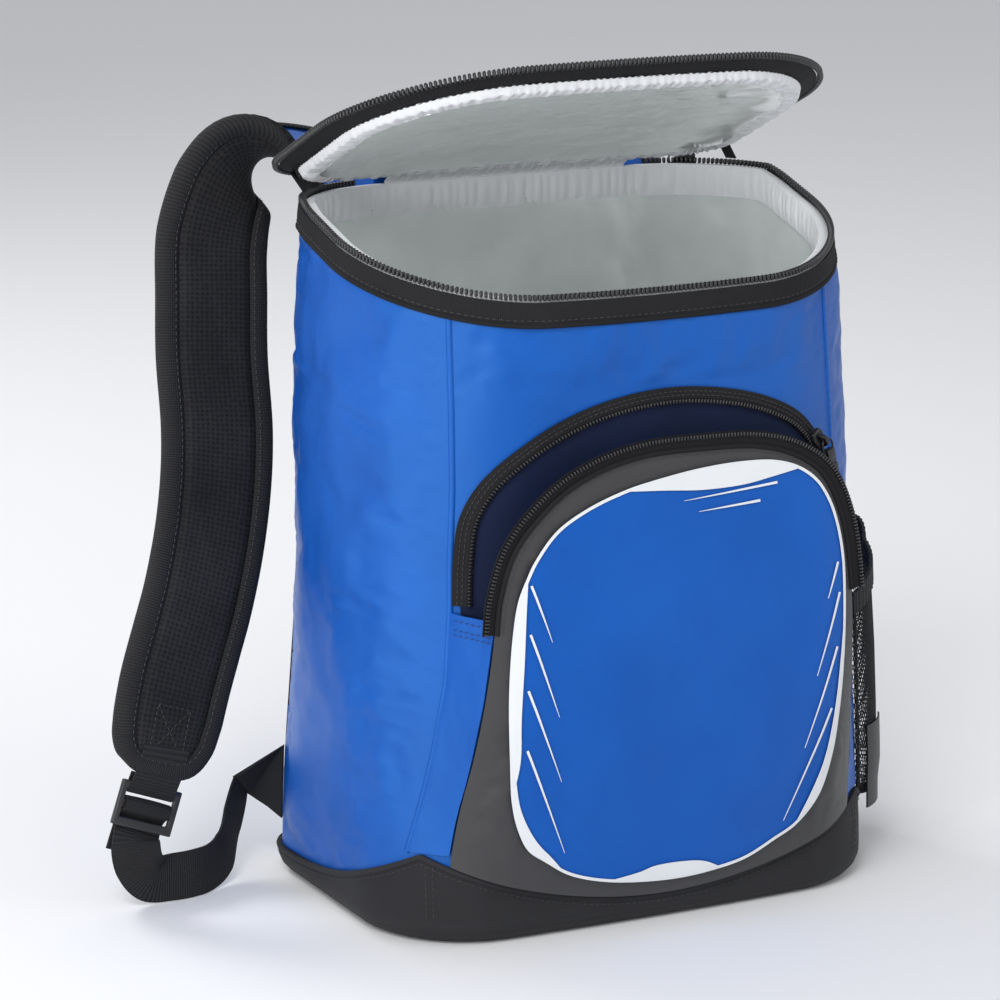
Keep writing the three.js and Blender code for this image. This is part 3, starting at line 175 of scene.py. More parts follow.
def evenly(start, end, part):
    low, high = (np.interp(turn % 8, lap, walked) + walked[-1] * (turn // 8) for turn in (start, end))
    far = low + (high - low) * part
    return np.interp(np.mod(far, walked[-1]), walked, lap) + 8 * np.floor(far / walked[-1])


def all_round(part):
    """Turns of a whole lap that starts and ends behind the bag."""
    return evenly(BEHIND, BEHIND + 8, part)


print("outline:", round(walked[-1]), "mm round the bag")

# %% [markdown]
# ## Helpers that make cloth
# A sheet of cloth starts as a grid that is added flat, and its points are then laid on the bag's form. The
# grid's own UV map is stretched to real metres, so a weave keeps its scale on every piece. Solidify gives
# the sheet its thickness, and applying it leaves a plain mesh.

# %% Sheets from grids
def only(piece):
    bpy.ops.object.select_all(action="DESELECT")
    piece.select_set(True)
    bpy.context.view_layer.objects.active = piece


def points_of(piece, what="co", part="vertices"):
    parts = getattr(piece.data, part)
    flat = np.empty(len(parts) * 3)
    parts.foreach_get(what, flat)
    return flat.reshape(-1, 3)


def faces_of(piece):
    return points_of(piece, "center", "polygons"), points_of(piece, "normal", "polygons")


def set_points(piece, points):
    piece.data.vertices.foreach_set("co", np.asarray(points, dtype=float).ravel())
    piece.data.update()


def apply(piece, kind, **settings):
    only(piece)
    modifier = piece.modifiers.new(kind.lower(), kind)
    for name, value in settings.items():
        setattr(modifier, name, value)
    bpy.ops.object.modifier_apply(modifier=modifier.name)


def edit(piece, *steps):
    only(piece)
    bpy.ops.object.mode_set(mode="EDIT")
    bpy.ops.mesh.select_all(action="SELECT")
    for step in steps:
        step()
    bpy.ops.object.mode_set(mode="OBJECT")


def merge(distance=0.00002):
    bpy.ops.mesh.remove_doubles(threshold=distance)


def outward():
    bpy.ops.mesh.normals_make_consistent(inside=False)


BAG_MIDDLE = np.array([0, 0, 0.18])
TO_FRONT = (0, -1, 0)


def laid(name, columns, rows, place, toward=None):
    bpy.ops.object.select_all(action="DESELECT")
    bpy.ops.mesh.primitive_grid_add(x_subdivisions=columns, y_subdivisions=rows, size=1)
    piece = bpy.context.object
    piece.name = piece.data.name = name
    share = points_of(piece)[:, :2] + 0.5
    placed = np.asarray(place(share[:, 0], share[:, 1])) * MM
    set_points(piece, placed)
    order = np.lexsort((share[:, 0].round(6), share[:, 1].round(6)))
    lattice = placed[order].reshape(rows + 1, columns + 1, 3)
    wide = np.linalg.norm(np.diff(lattice, axis=1), axis=2).sum(1).max()
    tall = np.linalg.norm(np.diff(lattice, axis=0), axis=2).sum(0).max()
    layer = piece.data.uv_layers.active.data
    uv = np.empty(len(layer) * 2)
    layer.foreach_get("uv", uv)
    layer.foreach_set("uv", (uv.reshape(-1, 2) * (wide, tall)).ravel())
    piece["flat"] = (float(wide), float(tall))
    edit(piece, merge)
    piece["area"] = sum(face.area for face in piece.data.polygons)
    centres, normals = faces_of(piece)
    way = (centres - BAG_MIDDLE) * (1, 1, 0.2) if toward is None else np.asarray(toward)
    if (normals * way).sum() < 0:
        edit(piece, bpy.ops.mesh.flip_normals)
    return piece


def thicken(piece, thickness, inward=True):
    apply(piece, "SOLIDIFY", thickness=thickness * MM, offset=-1 if inward else 1, use_rim=True)
    return piece


def soften(piece, angle=60):
    only(piece)
    bpy.ops.object.shade_smooth_by_angle(angle=math.radians(angle))
    return piece


def finished(piece, material, slot, *nodes):
    piece.data.materials.clear()
    piece.data.materials.append(material)
    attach(piece, "root")
    if nodes:
        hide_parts(*nodes)
    print(piece.name, len(piece.data.polygons), "faces")
    return piece


def sewn(piece, thickness, material, slot, nodes):
    """Last steps of a sheet: thickness, shading, finish and what holds it."""
    finished(soften(thicken(piece, thickness)), material, slot, *nodes)
    return piece


print("flat sheets are measured in metres and made from millimetres:", MM)


# %% [markdown]
# Soft cloth is never quite even. A few octaves of noise, stretched along one direction, move the points a
# little along the sheet's own normals. It reads as slack and handling folds.

# %% Folds and wrinkles
def wrinkle(piece, depth, size, seed=0.0, stretch=(1, 1, 1), keep=None):
    points, normals = points_of(piece), points_of(piece, "normal")
    shift = Vector((seed, seed * 1.7, -seed))
    scale = np.array(stretch) / (size * MM)
    wave = np.array([noise.fractal(Vector(p) + shift, 1.0, 2.0, 3) for p in points * scale])
    if keep is not None:
        wave = wave * keep(points / MM)
    set_points(piece, points + normals * (wave * depth * MM)[:, None])


def above(low, span):
    """How much a fold may move points: nothing below low, all of it a span higher."""
    return lambda points: np.clip((points[:, 2] - low) / span, 0, 1)


FRAMES, SHRINK, STIFF = 16, -0.01, 12


def puff(piece, held, pressure, cap):
    """Cloth simulation of a sewn sheet, held where it is stitched, with its movement capped."""
    only(piece)
    start = points_of(piece)
    weights = held(start / MM)
    group = piece.vertex_groups.new(name="stitched")
    for index, weight in enumerate(weights):
        if weight > 0:
            group.add([index], float(weight), "REPLACE")
    modifier = piece.modifiers.new("cloth", "CLOTH")
    settings = modifier.settings
    settings.quality = 4
    settings.mass = 0.2
    settings.tension_stiffness = settings.compression_stiffness = STIFF
    settings.shear_stiffness = STIFF / 2
    settings.bending_stiffness = 0.4
    settings.shrink_min = SHRINK
    settings.use_pressure = True
    settings.uniform_pressure_force = pressure
    settings.vertex_group_mass = group.name
    settings.effector_weights.gravity = 0
    modifier.point_cache.frame_start, modifier.point_cache.frame_end = 1, FRAMES
    for number in range(1, FRAMES + 1):
        bpy.context.scene.frame_set(number)
    bpy.ops.object.modifier_apply(modifier=modifier.name)
    bpy.context.scene.frame_set(1)
    moved = points_of(piece) - start
    length = np.linalg.norm(moved, axis=1)
    limit = cap * MM * np.tanh(length / (cap * MM)) / np.maximum(length, 1e-9)
    set_points(piece, start + moved * limit[:, None])
    piece.vertex_groups.clear()
    print(piece.name, "moved up to", round(float((length * limit).max()) / MM, 1), "mm")


# %% [markdown]
# Things that repeat by the hundred, such as stitches and zip teeth, are shaped once as a small mesh. Copies
# are then set along a line at an even pitch, each turned to follow it.

# %% Rows of small things
def unit(vectors):
    return vectors / np.maximum(np.linalg.norm(vectors, axis=-1, keepdims=True), 1e-9)


def spaced(points, pitch):
    points = np.asarray(points, dtype=float)
    length = travelled(points)
    count = max(2, int(round(length[-1] / pitch)))
    far = (np.arange(count) + 0.5) / count * length[-1]
    return read_off(far, length, points), far, length


def row(shape, points, normals, pitch, lift=0.0, jitter=0.0):
    """Points and faces of copies of shape along a line; shape is (points, faces) with x along the line."""
    places, far, length = spaced(points, pitch)
    up = unit(read_off(far, length, np.asarray(normals, dtype=float)))
    ahead = unit(np.gradient(places, axis=0))
    side = unit(np.cross(up, ahead))
    ahead = np.cross(side, up)
    if jitter:
        turn = np.array([random.uniform(-jitter, jitter) for _ in places])[:, None]
        ahead, side = ahead * np.cos(turn) + side * np.sin(turn), side * np.cos(turn) - ahead * np.sin(turn)
    local, faces = shape
    local = local[None, :, :]
    made = places[:, None] + ahead[:, None] * local[..., :1] + side[:, None] * local[..., 1:2]
    made = made + up[:, None] * (local[..., 2:] + lift)
    shifts = np.arange(len(places)) * local.shape[1]
    return made.reshape(-1, 3), [[i + s for i in face] for s in shifts for face in faces]


def joined(name, rows):
    points, faces = [], []
    for made, parts in rows:
        start = sum(len(p) for p in points)
        points.append(made)
        faces += [[i + start for i in face] for face in parts]
    mesh = bpy.data.meshes.new(name)
    mesh.from_pydata((np.concatenate(points) * MM).tolist(), [], faces)
    piece = bpy.data.objects.new(name, mesh)
    bpy.context.collection.objects.link(piece)
    edit(piece, outward)
    return soften(piece, 50)


def shape_of(piece):
    made = points_of(piece).copy(), [list(face.vertices) for face in piece.data.polygons]
    bpy.data.objects.remove(piece)
    return made


def small(size, bevel, kind="cube"):
    bpy.ops.object.select_all(action="DESELECT")
    if kind == "cube":
        bpy.ops.mesh.primitive_cube_add(size=1)
    else:
        bpy.ops.mesh.primitive_uv_sphere_add(segments=6, ring_count=4, radius=0.5)
    piece = bpy.context.object
    if kind != "cube":
        edit(piece, lambda: bpy.ops.transform.rotate(
            value=math.pi / 2, orient_axis="Y", center_override=(0, 0, 0)))
    set_points(piece, points_of(piece) * size)
    if bevel:
        edit(piece, lambda: bpy.ops.mesh.bevel(offset=bevel, segments=1))
    return shape_of(piece)


STITCH = small((2.3, 0.55, 0.45), 0, "ball")
print("stitch:", len(STITCH[1]), "faces")

# %% [markdown]
# ## Finishes
# Each finish is built from nodes. A weave is two crossed sine waves read from the UV map, which is in
# metres, so its pitch is the thread's own. It drives a fine bump and a slight change of tone. Slow noise
# on object coordinates gives the uneven tone of cloth that has been handled.

# %% Weave and cloth finishes
def node(tree, kind, **values):
    made = tree.nodes.new(kind)
    for name, value in values.items():
        if name in made.inputs:
            made.inputs[name].default_value = value
        else:
            setattr(made, name, value)
    return made


def waves(tree, source, axis, pitch, phase=0.0):
    split = node(tree, "ShaderNodeSeparateXYZ")
    tree.links.new(source, split.inputs[0])
    scaled = node(tree, "ShaderNodeMath", operation="MULTIPLY_ADD")
    scaled.inputs[1].default_value = 2 * math.pi / (pitch * MM)
    scaled.inputs[2].default_value = phase
    tree.links.new(split.outputs[axis], scaled.inputs[0])
    sine = node(tree, "ShaderNodeMath", operation="SINE")
    tree.links.new(scaled.outputs[0], sine.inputs[0])
    return sine.outputs[0]


def combine(tree, operation, a, b):
    made = node(tree, "ShaderNodeMath", operation=operation)
    for socket, value in zip(made.inputs, (a, b)):
        if isinstance(value, (int, float)):
            socket.default_value = value
        else:
            tree.links.new(value, socket)
    return made.outputs[0]


def mixed(tree, share, dark, light):
    ramp = node(tree, "ShaderNodeValToRGB")
    ramp.color_ramp.elements[0].color = (*dark, 1)
    ramp.color_ramp.elements[1].color = (*light, 1)
    tree.links.new(share, ramp.inputs[0])
    return ramp.outputs[0]


def finish(name, dark, light, rough, pattern, depth=0.2, bump=0.6, coords="UV", worn=0.5, turned=0.0,
           **principled):
    made = bpy.data.materials.new(name)
    made.use_nodes = True
    tree = made.node_tree
    shader = tree.nodes["Principled BSDF"]
    shader.inputs["Roughness"].default_value = rough
    for socket, value in principled.items():
        shader.inputs[socket.replace("_", " ")].default_value = value
    coordinates = node(tree, "ShaderNodeTexCoord")
    mapping = node(tree, "ShaderNodeMapping")
    mapping.inputs["Rotation"].default_value[2] = turned
    tree.links.new(coordinates.outputs[coords], mapping.inputs[0])
    height = pattern(tree, mapping.outputs[0])
    slow = node(tree, "ShaderNodeTexNoise", Scale=24.0, Detail=3.0)
    tree.links.new(coordinates.outputs["Object"], slow.inputs["Vector"])
    tone = combine(tree, "MULTIPLY_ADD", height, depth)
    tone.node.inputs[2].default_value = 0.5 - depth / 2
    uneven = combine(tree, "MULTIPLY_ADD", slow.outputs["Fac"], worn)
    uneven.node.inputs[2].default_value = -worn / 2
    share = combine(tree, "ADD", tone, uneven)
    tree.links.new(mixed(tree, share, dark, light), shader.inputs["Base Color"])
    relief = node(tree, "ShaderNodeBump", Strength=bump, Distance=0.0004)
    tree.links.new(height, relief.inputs["Height"])
    tree.links.new(relief.outputs[0], shader.inputs["Normal"])
    return made


def plain_weave(pitch):
    def pattern(tree, source):
        cross = combine(tree, "MULTIPLY", waves(tree, source, 0, pitch), waves(tree, source, 1, pitch))
        made = combine(tree, "MULTIPLY_ADD", cross, 0.5)
        made.node.inputs[2].default_value = 0.5
        return made
    return pattern


def ribbed(pitch, cross, axis=0):
    def pattern(tree, source):
        rib = waves(tree, source, axis, pitch)
        thread = combine(tree, "MULTIPLY", waves(tree, source, 1 - axis, cross), 0.35)
        made = combine(tree, "MULTIPLY_ADD", combine(tree, "ADD", rib, thread), 0.37)
        made.node.inputs[2].default_value = 0.5
        return made
    return pattern


def cells(pitch, sharp=0.35):
    def pattern(tree, source):
        made = node(tree, "ShaderNodeTexVoronoi", Scale=1 / (pitch * MM), Randomness=0.18)
        tree.links.new(source, made.inputs["Vector"])
        return combine(tree, "SMOOTH_MIN", made.outputs["Distance"], sharp)
    return pattern


def grain(scale, detail=4.0):
    def pattern(tree, source):
        made = node(tree, "ShaderNodeTexNoise", Scale=scale, Detail=detail)
        tree.links.new(source, made.inputs["Vector"])
        return made.outputs["Fac"]
    return pattern


def crinkle(scale):
    def pattern(tree, source):
        folds = node(tree, "ShaderNodeTexVoronoi", Scale=scale, feature="DISTANCE_TO_EDGE")
        tree.links.new(source, folds.inputs["Vector"])
        soft = node(tree, "ShaderNodeTexNoise", Scale=scale * 1.5, Detail=2.0)
        tree.links.new(source, soft.inputs["Vector"])
        creases = combine(tree, "MINIMUM", folds.outputs["Distance"], 0.12)
        return combine(tree, "ADD", creases, soft.outputs["Fac"])
    return pattern


BLUE = finish("blue_nylon", (0.002, 0.046, 0.27), (0.005, 0.105, 0.49), 0.37, plain_weave(0.9), 0.5, 0.3,
              Specular_IOR_Level=0.75, Specular_Tint=(0.30, 0.65, 1, 1))
PRINT = finish("blue_print", (0.002, 0.050, 0.29), (0.005, 0.108, 0.50), 0.42, plain_weave(0.8), 0.5, 0.3,
               Specular_IOR_Level=0.5, Specular_Tint=(0.30, 0.65, 1, 1), turned=math.pi / 4)
# Navy lining taken nearly to black: partly the lining's own colour, partly painted shade for the inside of
# the front pocket.
NAVY_LINING_AND_SHADE = finish("navy_lining_and_painted_shade", (0.002, 0.005, 0.022), (0.005, 0.014, 0.055), 0.7, plain_weave(0.8), 0.5, 0.3,
              Specular_IOR_Level=0.2)
BASE = finish("dark_base_cloth", (0.008, 0.008, 0.010), (0.026, 0.026, 0.030), 0.66, plain_weave(0.9),
              0.5, 0.5, Specular_IOR_Level=0.3)
CHARCOAL = finish("charcoal_satin", (0.020, 0.020, 0.022), (0.044, 0.043, 0.046), 0.40, plain_weave(0.6),
                  0.3, 0.2, Sheen_Weight=0.05)
LINING = finish("grey_lining", (0.60, 0.61, 0.63), (0.84, 0.85, 0.87), 0.75, plain_weave(0.8), 0.4, 0.3)
FILM = finish("silver_film", (0.62, 0.66, 0.65), (0.88, 0.91, 0.90), 0.20, crinkle(38.0), 0.3, 1.0,
              coords="Object", Metallic=0.35, Coat_Weight=0.3, Coat_Roughness=0.15)
TAPE = finish("zip_tape", (0.006, 0.006, 0.007), (0.020, 0.020, 0.022), 0.8, ribbed(0.9, 1.3), 0.6, 0.6,
              Specular_IOR_Level=0.2)
WEBBING = finish("black_webbing", (0.006, 0.006, 0.007), (0.024, 0.024, 0.026), 0.75, ribbed(1.5, 0.9),
                 0.8, 1.0, Specular_IOR_Level=0.25)
ELASTIC = finish("black_elastic", (0.005, 0.005, 0.006), (0.024, 0.024, 0.026), 0.8, ribbed(1.1, 2.0),
                 0.8, 0.9)
NET = finish("black_net", (0.006, 0.006, 0.007), (0.020, 0.020, 0.022), 0.7, grain(900.0), 0.4, 0.3,
             coords="Object")
AIR_MESH = finish("air_mesh", (0.004, 0.004, 0.005), (0.050, 0.050, 0.054), 0.75, cells(2.7), 1.6, 1.0,
                  Specular_IOR_Level=0.25)
WHITE = finish("white_print", (0.60, 0.62, 0.64), (0.80, 0.82, 0.84), 0.5, plain_weave(0.8), 0.3, 0.25,
               turned=math.pi / 4)
PLASTIC = finish("moulded_plastic", (0.010, 0.010, 0.011), (0.022, 0.022, 0.024), 0.38, grain(600.0),
                 0.4, 0.15, coords="Object")
TEETH = finish("coil_teeth", (0.008, 0.008, 0.009), (0.030, 0.030, 0.033), 0.32, grain(300.0),
               0.4, 0.1, coords="Object")
SLIDER = finish("slider_paint", (0.020, 0.020, 0.022), (0.050, 0.050, 0.055), 0.34, grain(400.0),
                0.5, 0.15, coords="Object", Metallic=0.6)
BLACK_THREAD = finish("black_thread", (0.012, 0.012, 0.013), (0.050, 0.050, 0.054), 0.6, grain(1500.0),
                      0.4, 0.4, coords="Object")
BLUE_THREAD = finish("blue_thread", (0.002, 0.018, 0.10), (0.006, 0.04, 0.20), 0.6, grain(1500.0),
                     0.4, 0.4, coords="Object")
TAG_SATIN = finish("tag_satin", (0.006, 0.006, 0.007), (0.016, 0.016, 0.018), 0.45, ribbed(0.5, 0.5),
                   0.4, 0.3)
print("finishes:", len(bpy.data.materials))

# %% [markdown]
# ## The body
# The padded wall is foam between two cloths, so its cover bulges a little between its seams. The cover is
# laid round the bag as one sheet. A cloth simulation swells it while the rim, the foot, the seams and the
# part under the front pocket are held. Fine folds come after it, and then the foam's thickness.

# %% Seams that the cover is held by
SEAM_HEIGHTS = [12, 45, 79, 99, 132, 167, 189, 226, 262, 312]
SEAM_ACROSS = [131, 127, 119.5, 115.5, 110, 107.5, 107, 105, 104, 103]
REAR_SEAM = (121, 70)


def front_turn(x, z):
    turns = np.linspace(5, 8, 600)
    share = share_at(z, turns)
    across = outline(section(share), turns)[0]
    return float(np.interp(x, across, turns))


def seam_line(side, low, high, out, count=90):
    levels = np.linspace(low, high, count)
    turns = np.array([front_turn(side * np.interp(z, SEAM_HEIGHTS, SEAM_ACROSS), z) for z in levels])
    share = share_at(levels, turns)
    points, further = wall(share, turns, out), wall(share, turns, out + 1)
    return points, further - points


print("front seams:", SEAM_ACROSS[0], "mm from the middle at the foot,", SEAM_ACROSS[-1], "at the rim")

# %% [markdown]
# The cover is one grid round the bag. Where it is held, the simulation can't lift it: along the rim and the
# foot, at the seams, behind the front pocket and on the flat back. In between it lifts by a few millimetres.

# %% Padded wall
WALL_COLUMNS, WALL_ROWS = 264, 104
RIM_BAND, FOOT_BAND, POCKET_HALF, POCKET_TOP, FLAT_BACK = 11, 20, 112, 272, 70


def near_seam(points):
    across = np.interp(points[:, 2], SEAM_HEIGHTS, SEAM_ACROSS)
    gap = np.abs(np.abs(points[:, 0]) - across) + (points[:, 1] > 0) * 99
    rear = np.hypot(np.abs(points[:, 0]) - REAR_SEAM[0], points[:, 1] - REAR_SEAM[1])
    return np.minimum(gap, rear)


def wall_hold(points):
    top = points[:, 2] > rim(points[:, 1]) - RIM_BAND
    low = points[:, 2] < FOOT_BAND + 30 * np.clip((-points[:, 1]) / 70, 0, 1)
    pocket = (points[:, 1] < -20) & (np.abs(points[:, 0]) < POCKET_HALF) & (points[:, 2] < POCKET_TOP)
    back = points[:, 1] > FLAT_BACK
    held = top | low | pocket | back
    return np.where(held, 1.0, np.clip(1.15 - near_seam(points) / 9, 0, 1))


def wall_free(points):
    return 0.12 + 0.88 * (1 - wall_hold(points))


def round_wall(u, v):
    return wall(v, all_round(u))


cover = laid("bag_wall", WALL_COLUMNS, WALL_ROWS, round_wall)
puff(cover, wall_hold, pressure=0.9, cap=3.6)
wrinkle(cover, 1.5, 46, 3.1, (1, 1, 0.35), wall_free)
wrinkle(cover, 0.7, 15, 8.4, (1, 1, 0.8), wall_free)
soften(thicken(cover, 4.2))
finished(cover, BLUE, "blue_cloth", "bag_shell")

# %% [markdown]
# A seam shows as a low ridge, because the cloths' edges are turned in behind it. The ridge is puckered by
# its thread.

# %% Front seams and back bindings
def ridge(name, points, normals, width, height, pucker=0.0, pitch=5.0):
    points, normals = np.asarray(points), unit(np.asarray(normals))
    ahead = unit(np.gradient(points, axis=0))
    side = unit(np.cross(normals, ahead))
    length = travelled(points)

    def place(u, v):
        far = along(v, length[:, None])[:, 0]
        crown = np.sin(np.pi * np.clip(u, 0, 1)) ** 0.6 * height
        crown = crown * (1 + pucker * np.sin(2 * np.pi * far / pitch))
        across = (u - 0.5) * width
        return along(v, points) + along(v, side) * across[:, None] + along(v, normals) * crown[:, None]
    piece = laid(name, 8, max(4, int(length[-1] / 1.6)), place, toward=normals.mean(0))
    return soften(thicken(piece, 0.5), 80)


SEAM_FOOT, SEAM_TOP, BINDING_FOOT, BINDING_TOP = 46, 311, 22, 332
SIDES = ((-1, "left", 3.5), (1, "right", 9.5))
for side, name, back_corner in SIDES:
    run, normals = seam_line(side, SEAM_FOOT, SEAM_TOP, 0.1)
    seam = ridge(f"front_seam_{name}", run, normals, 3.2, 0.9, pucker=0.25, pitch=4.2)
    finished(seam, BLUE, "blue_cloth")
    share = share_at(np.linspace(BINDING_FOOT, BINDING_TOP, 80), back_corner)
    run = wall(share, back_corner, 0.3)
    normals = wall(share, back_corner, 1.3) - run
    bound = ridge(f"back_binding_{name}", run, normals, 6.0, 1.3)
    finished(bound, TAPE, "black_webbing", f"back_seam_{name}")

# %% [markdown]
# The dark base is a tray of heavier cloth. It is high at the front corners, where feet and floors wear a
# bag most, and low along the front. Its upper edge is folded over and top-stitched.

# %% Base
BASE_LOW, BASE_RISE = 15.5, 30.5


def base_edge(turn):
    lap = np.mod(turn, 8.0)
    around = np.where(lap < 2.5, lap + 8, lap)
    folded = np.where(around > 6.5, 13 - around, around)
    half, front, front_corner, back_corner, _ = [float(v) for v in section(0.0)]
    arc = front_corner * math.pi / 2
    flat, side = half - front_corner, BACK - back_corner - front - front_corner
    walk = np.where(folded > 6, (6.5 - folded) * 2 * flat, flat + (6 - folded) * arc)
    ahead = np.clip(walk / (flat + arc / 2), 0, 2) ** 1.9
    walk = np.where(folded > 5, (5.5 - folded) * arc, arc / 2 + (5 - folded) * side)
    behind = np.clip(1 - walk / (arc / 2 + side), 0, 1) ** 2.2
    return BASE_LOW + BASE_RISE * np.where(folded >= 5.5, np.clip(ahead, 0, 1), behind)


def tray(out, top, floor_part=0.3, round_part=0.1):
    def place(u, v):
        turn = all_round(u)
        rounded = foot(turn, out, 90 * np.clip((v - floor_part) / round_part, 0, 1))
        edge = foot(turn, out, 0)
        flat = edge * xyz(v / floor_part, v / floor_part, 1.0)
        rise = np.clip((v - floor_part - round_part) / (1 - floor_part - round_part), 0, 1)
        upright = wall(top(turn) * rise, turn, out)
        made = np.where((v < floor_part)[:, None], flat, rounded)
        return np.where((v > floor_part + round_part)[:, None], upright, made)
    return place


BASE_OUT = SEAT + CLOTH
base = laid("base_tray", 240, 44, tray(BASE_OUT, lambda turn: share_at(base_edge(turn), turn)))
wrinkle(base, 0.45, 24, 5.2, keep=above(2, 12))
sewn(base, CLOTH, BASE, "dark_cloth", ["base_cup"])

around = all_round(np.linspace(0, 1, 700))
hem_share = share_at(base_edge(around) - 1.2, around)
hem = wall(hem_share, around, BASE_OUT + 0.15)
hem_normals = wall(hem_share, around, BASE_OUT + 1) - hem
finished(ridge("base_hem", hem, hem_normals, 3.0, 0.8), BASE, "dark_cloth")

# %% [markdown]
# Thread shows as short rounded bars. One bar was shaped above, and a row of them follows the base's upper
# edge, with two upright rows at each front corner where the base's cloth is joined.

# %% Top stitches of the base
def stitch_line(points, normals, pitch=3.4, lift=0.15):
    return row(STITCH, points, normals, pitch, lift, 0.06)


def base_line(drop, out):
    share = share_at(base_edge(around) - drop, around)
    points = wall(share, around, out)
    return points, wall(share, around, out + 1) - points


base_stitches = [stitch_line(*base_line(4.4, BASE_OUT + 0.1))]
for turn in (5.55, 7.45):
    levels = np.linspace(14, float(base_edge(turn)) - 3, 24)
    for gap in (-0.02, 0.02):
        share = share_at(levels, turn + gap)
        points = wall(share, turn + gap, BASE_OUT + 0.1)
        base_stitches.append(stitch_line(points, wall(share, turn + gap, BASE_OUT + 1) - points))
finished(joined("base_stitches", base_stitches), BLACK_THREAD, "dark_cloth")

# %% [markdown]
# ## The lining
# The inside is a cup of silvered film, which is stiff and keeps its creases. A grey cloth border joins it
# to the mouth. The border is longer than the film, so it puckers all the way round.

# %% Film and puckered border
COLLAR, COLLAR_LIP = 13.0, 2.6
LINER_OUT = -WALL - SEAT


def liner_top(turn):
    on_wall = outline(MOUTH, turn)[2]
    return 1 - (COLLAR - 4) / (rim(on_wall) - FOOT_TOP)


film = laid("liner_film", 200, 70, tray(LINER_OUT - 2.2, liner_top, 0.24, 0.05))
edit(film, bpy.ops.mesh.flip_normals)
off_floor = above(14, 14)
wrinkle(film, 0.9, 34, 2.2, keep=lambda p: off_floor(p) * 0.6 + 0.1)
wrinkle(film, 0.7, 12, 6.0, keep=lambda p: off_floor(p) * 0.8)
sewn(film, 1.1, FILM, "silver_film", ["liner"])


def puckered(u, pitch, seed):
    beat = 2 * np.pi * u / pitch
    return 0.6 * np.sin(beat + 1.7 * np.sin(beat * 0.13 + seed)) + 0.4 * np.sin(beat * 0.47 + seed)


ROUND_MOUTH = float(walked[-1])


def border_place(u, v):
    turn = all_round(u)
    over, down = np.clip(v / 0.22, 0, 1), np.clip((v - 0.22) / 0.78, 0, 1)
    lift = 0.9 + 1.9 * np.sin(np.pi * over * 0.62) - (COLLAR + 2.6) * down
    slack = np.sin(np.pi * down)
    fold = 0.75 * puckered(u * ROUND_MOUTH, 6.4, 2.0) * slack
    return wall(1.0, turn, -0.5 + (LINER_OUT - 1.0) * over - fold * 0.9 - 0.8 * slack, lift)


border = laid("mouth_border_cloth", 760, 14, border_place)
sewn(border, 0.7, LINING, "grey_lining", ["mouth_border"])

# %% [markdown]
# ## Zips
# A coil zip is a tape with a row of nylon loops along its edge. One loop is shaped from a cube and copied
# at the coil's pitch. The tape is a ribbed band, bound along its lower edge and stitched down twice.

# %% Zip of the mouth
TEETH_SIZE, TAPE_THICK, TAPE_LEAN = 3.4, 1.2, 0.7
MOUTH_TAPE_DEPTH, MOUTH_TAPE_LIP, HEM = 9.0, 2.4, 0.6
COIL, COIL_PITCH = small((1.55, 3.3, 2.9), 0.45), 2.35
ZIP_FROM, ZIP_TO = 3.12, 9.88
zip_turns = evenly(ZIP_FROM, ZIP_TO, np.linspace(0, 1, 900))


def mouth_tape(u, v):
    turn = evenly(ZIP_FROM, ZIP_TO, u)
    out = SEAT + TAPE_THICK + TAPE_LEAN * (1 - v) + 0.35 * np.sin(np.pi * np.clip(v, 0, 1))
    return wall(1.0, turn, out, -MOUTH_TAPE_DEPTH - HEM + (MOUTH_TAPE_DEPTH + HEM + MOUTH_TAPE_LIP) * v)


tape = laid("mouth_tape", 500, 8, mouth_tape)
wrinkle(tape, 0.3, 14, 9.1)
finished(soften(thicken(tape, 0.8)), TAPE, "black_webbing", "mouth_zip_tape")
tape_run = wall(1.0, zip_turns, SEAT + TAPE_THICK + 0.75, -6.4)
tape_out = wall(1.0, zip_turns, 2.0) - wall(1.0, zip_turns, 1.0)
coil_run = wall(1.0, zip_turns, SEAT + TAPE_THICK - TEETH_SIZE / 2, MOUTH_TAPE_LIP + SEAT + TEETH_SIZE / 2)
upward = np.tile([0.0, 0.0, 1.0], (len(zip_turns), 1))
coil = joined("mouth_coil", [row(COIL, coil_run, upward, COIL_PITCH)])
finished(coil, TEETH, "black_plastic", "mouth_zip_teeth")
piped = ridge("mouth_piping", wall(1.0, zip_turns, SEAT + TAPE_THICK + TAPE_LEAN, -MOUTH_TAPE_DEPTH),
              tape_out, 2.4, 0.9, pucker=0.2, pitch=3.4)
finished(piped, TAPE, "black_webbing")

# %% [markdown]
# ## The lid
# The lid is a padded panel with the mouth's outline, hinged on a strip of cloth along the back. It is
# raised 23.4 degrees. The panel is swollen by simulation while its sewn edge is held.

# %% Points on the lid
LID_REACH, LID_TILT, LID_BACK_CORNER = 166.0, math.radians(23.4), 34.0
LID_TAPE_WIDTH, LID_TAPE_FLARE, LID_BORDER, LID_CROWN = 10.0, 3.5, 10.0, 5.0
HINGE_RISE = 5.0
LID_FORM = [MOUTH[0], MOUTH[1], MOUTH[2], LID_BACK_CORNER, MOUTH[4]]
MOUTH_DEPTH = BACK - MOUTH[1] + MOUTH[4]
LID_FORWARD = np.array([0, -math.cos(LID_TILT), math.sin(LID_TILT)])
LID_UP = np.array([0, math.sin(LID_TILT), math.cos(LID_TILT)])
HINGE = np.array([0, BACK, RIM_BACK + HINGE_RISE])


def on_lid(x, reach, rise):
    made = HINGE + np.multiply.outer(np.asarray(reach, dtype=float), LID_FORWARD)
    made = made + np.multiply.outer(np.asarray(rise, dtype=float) + np.zeros_like(reach), LID_UP)
    made[..., 0] = x
    return made


def lid_at(turn, inset, rise):
    x, y, _ = outline(LID_FORM, turn, -inset)
    return on_lid(x, (BACK - y) * LID_REACH / MOUTH_DEPTH, rise)


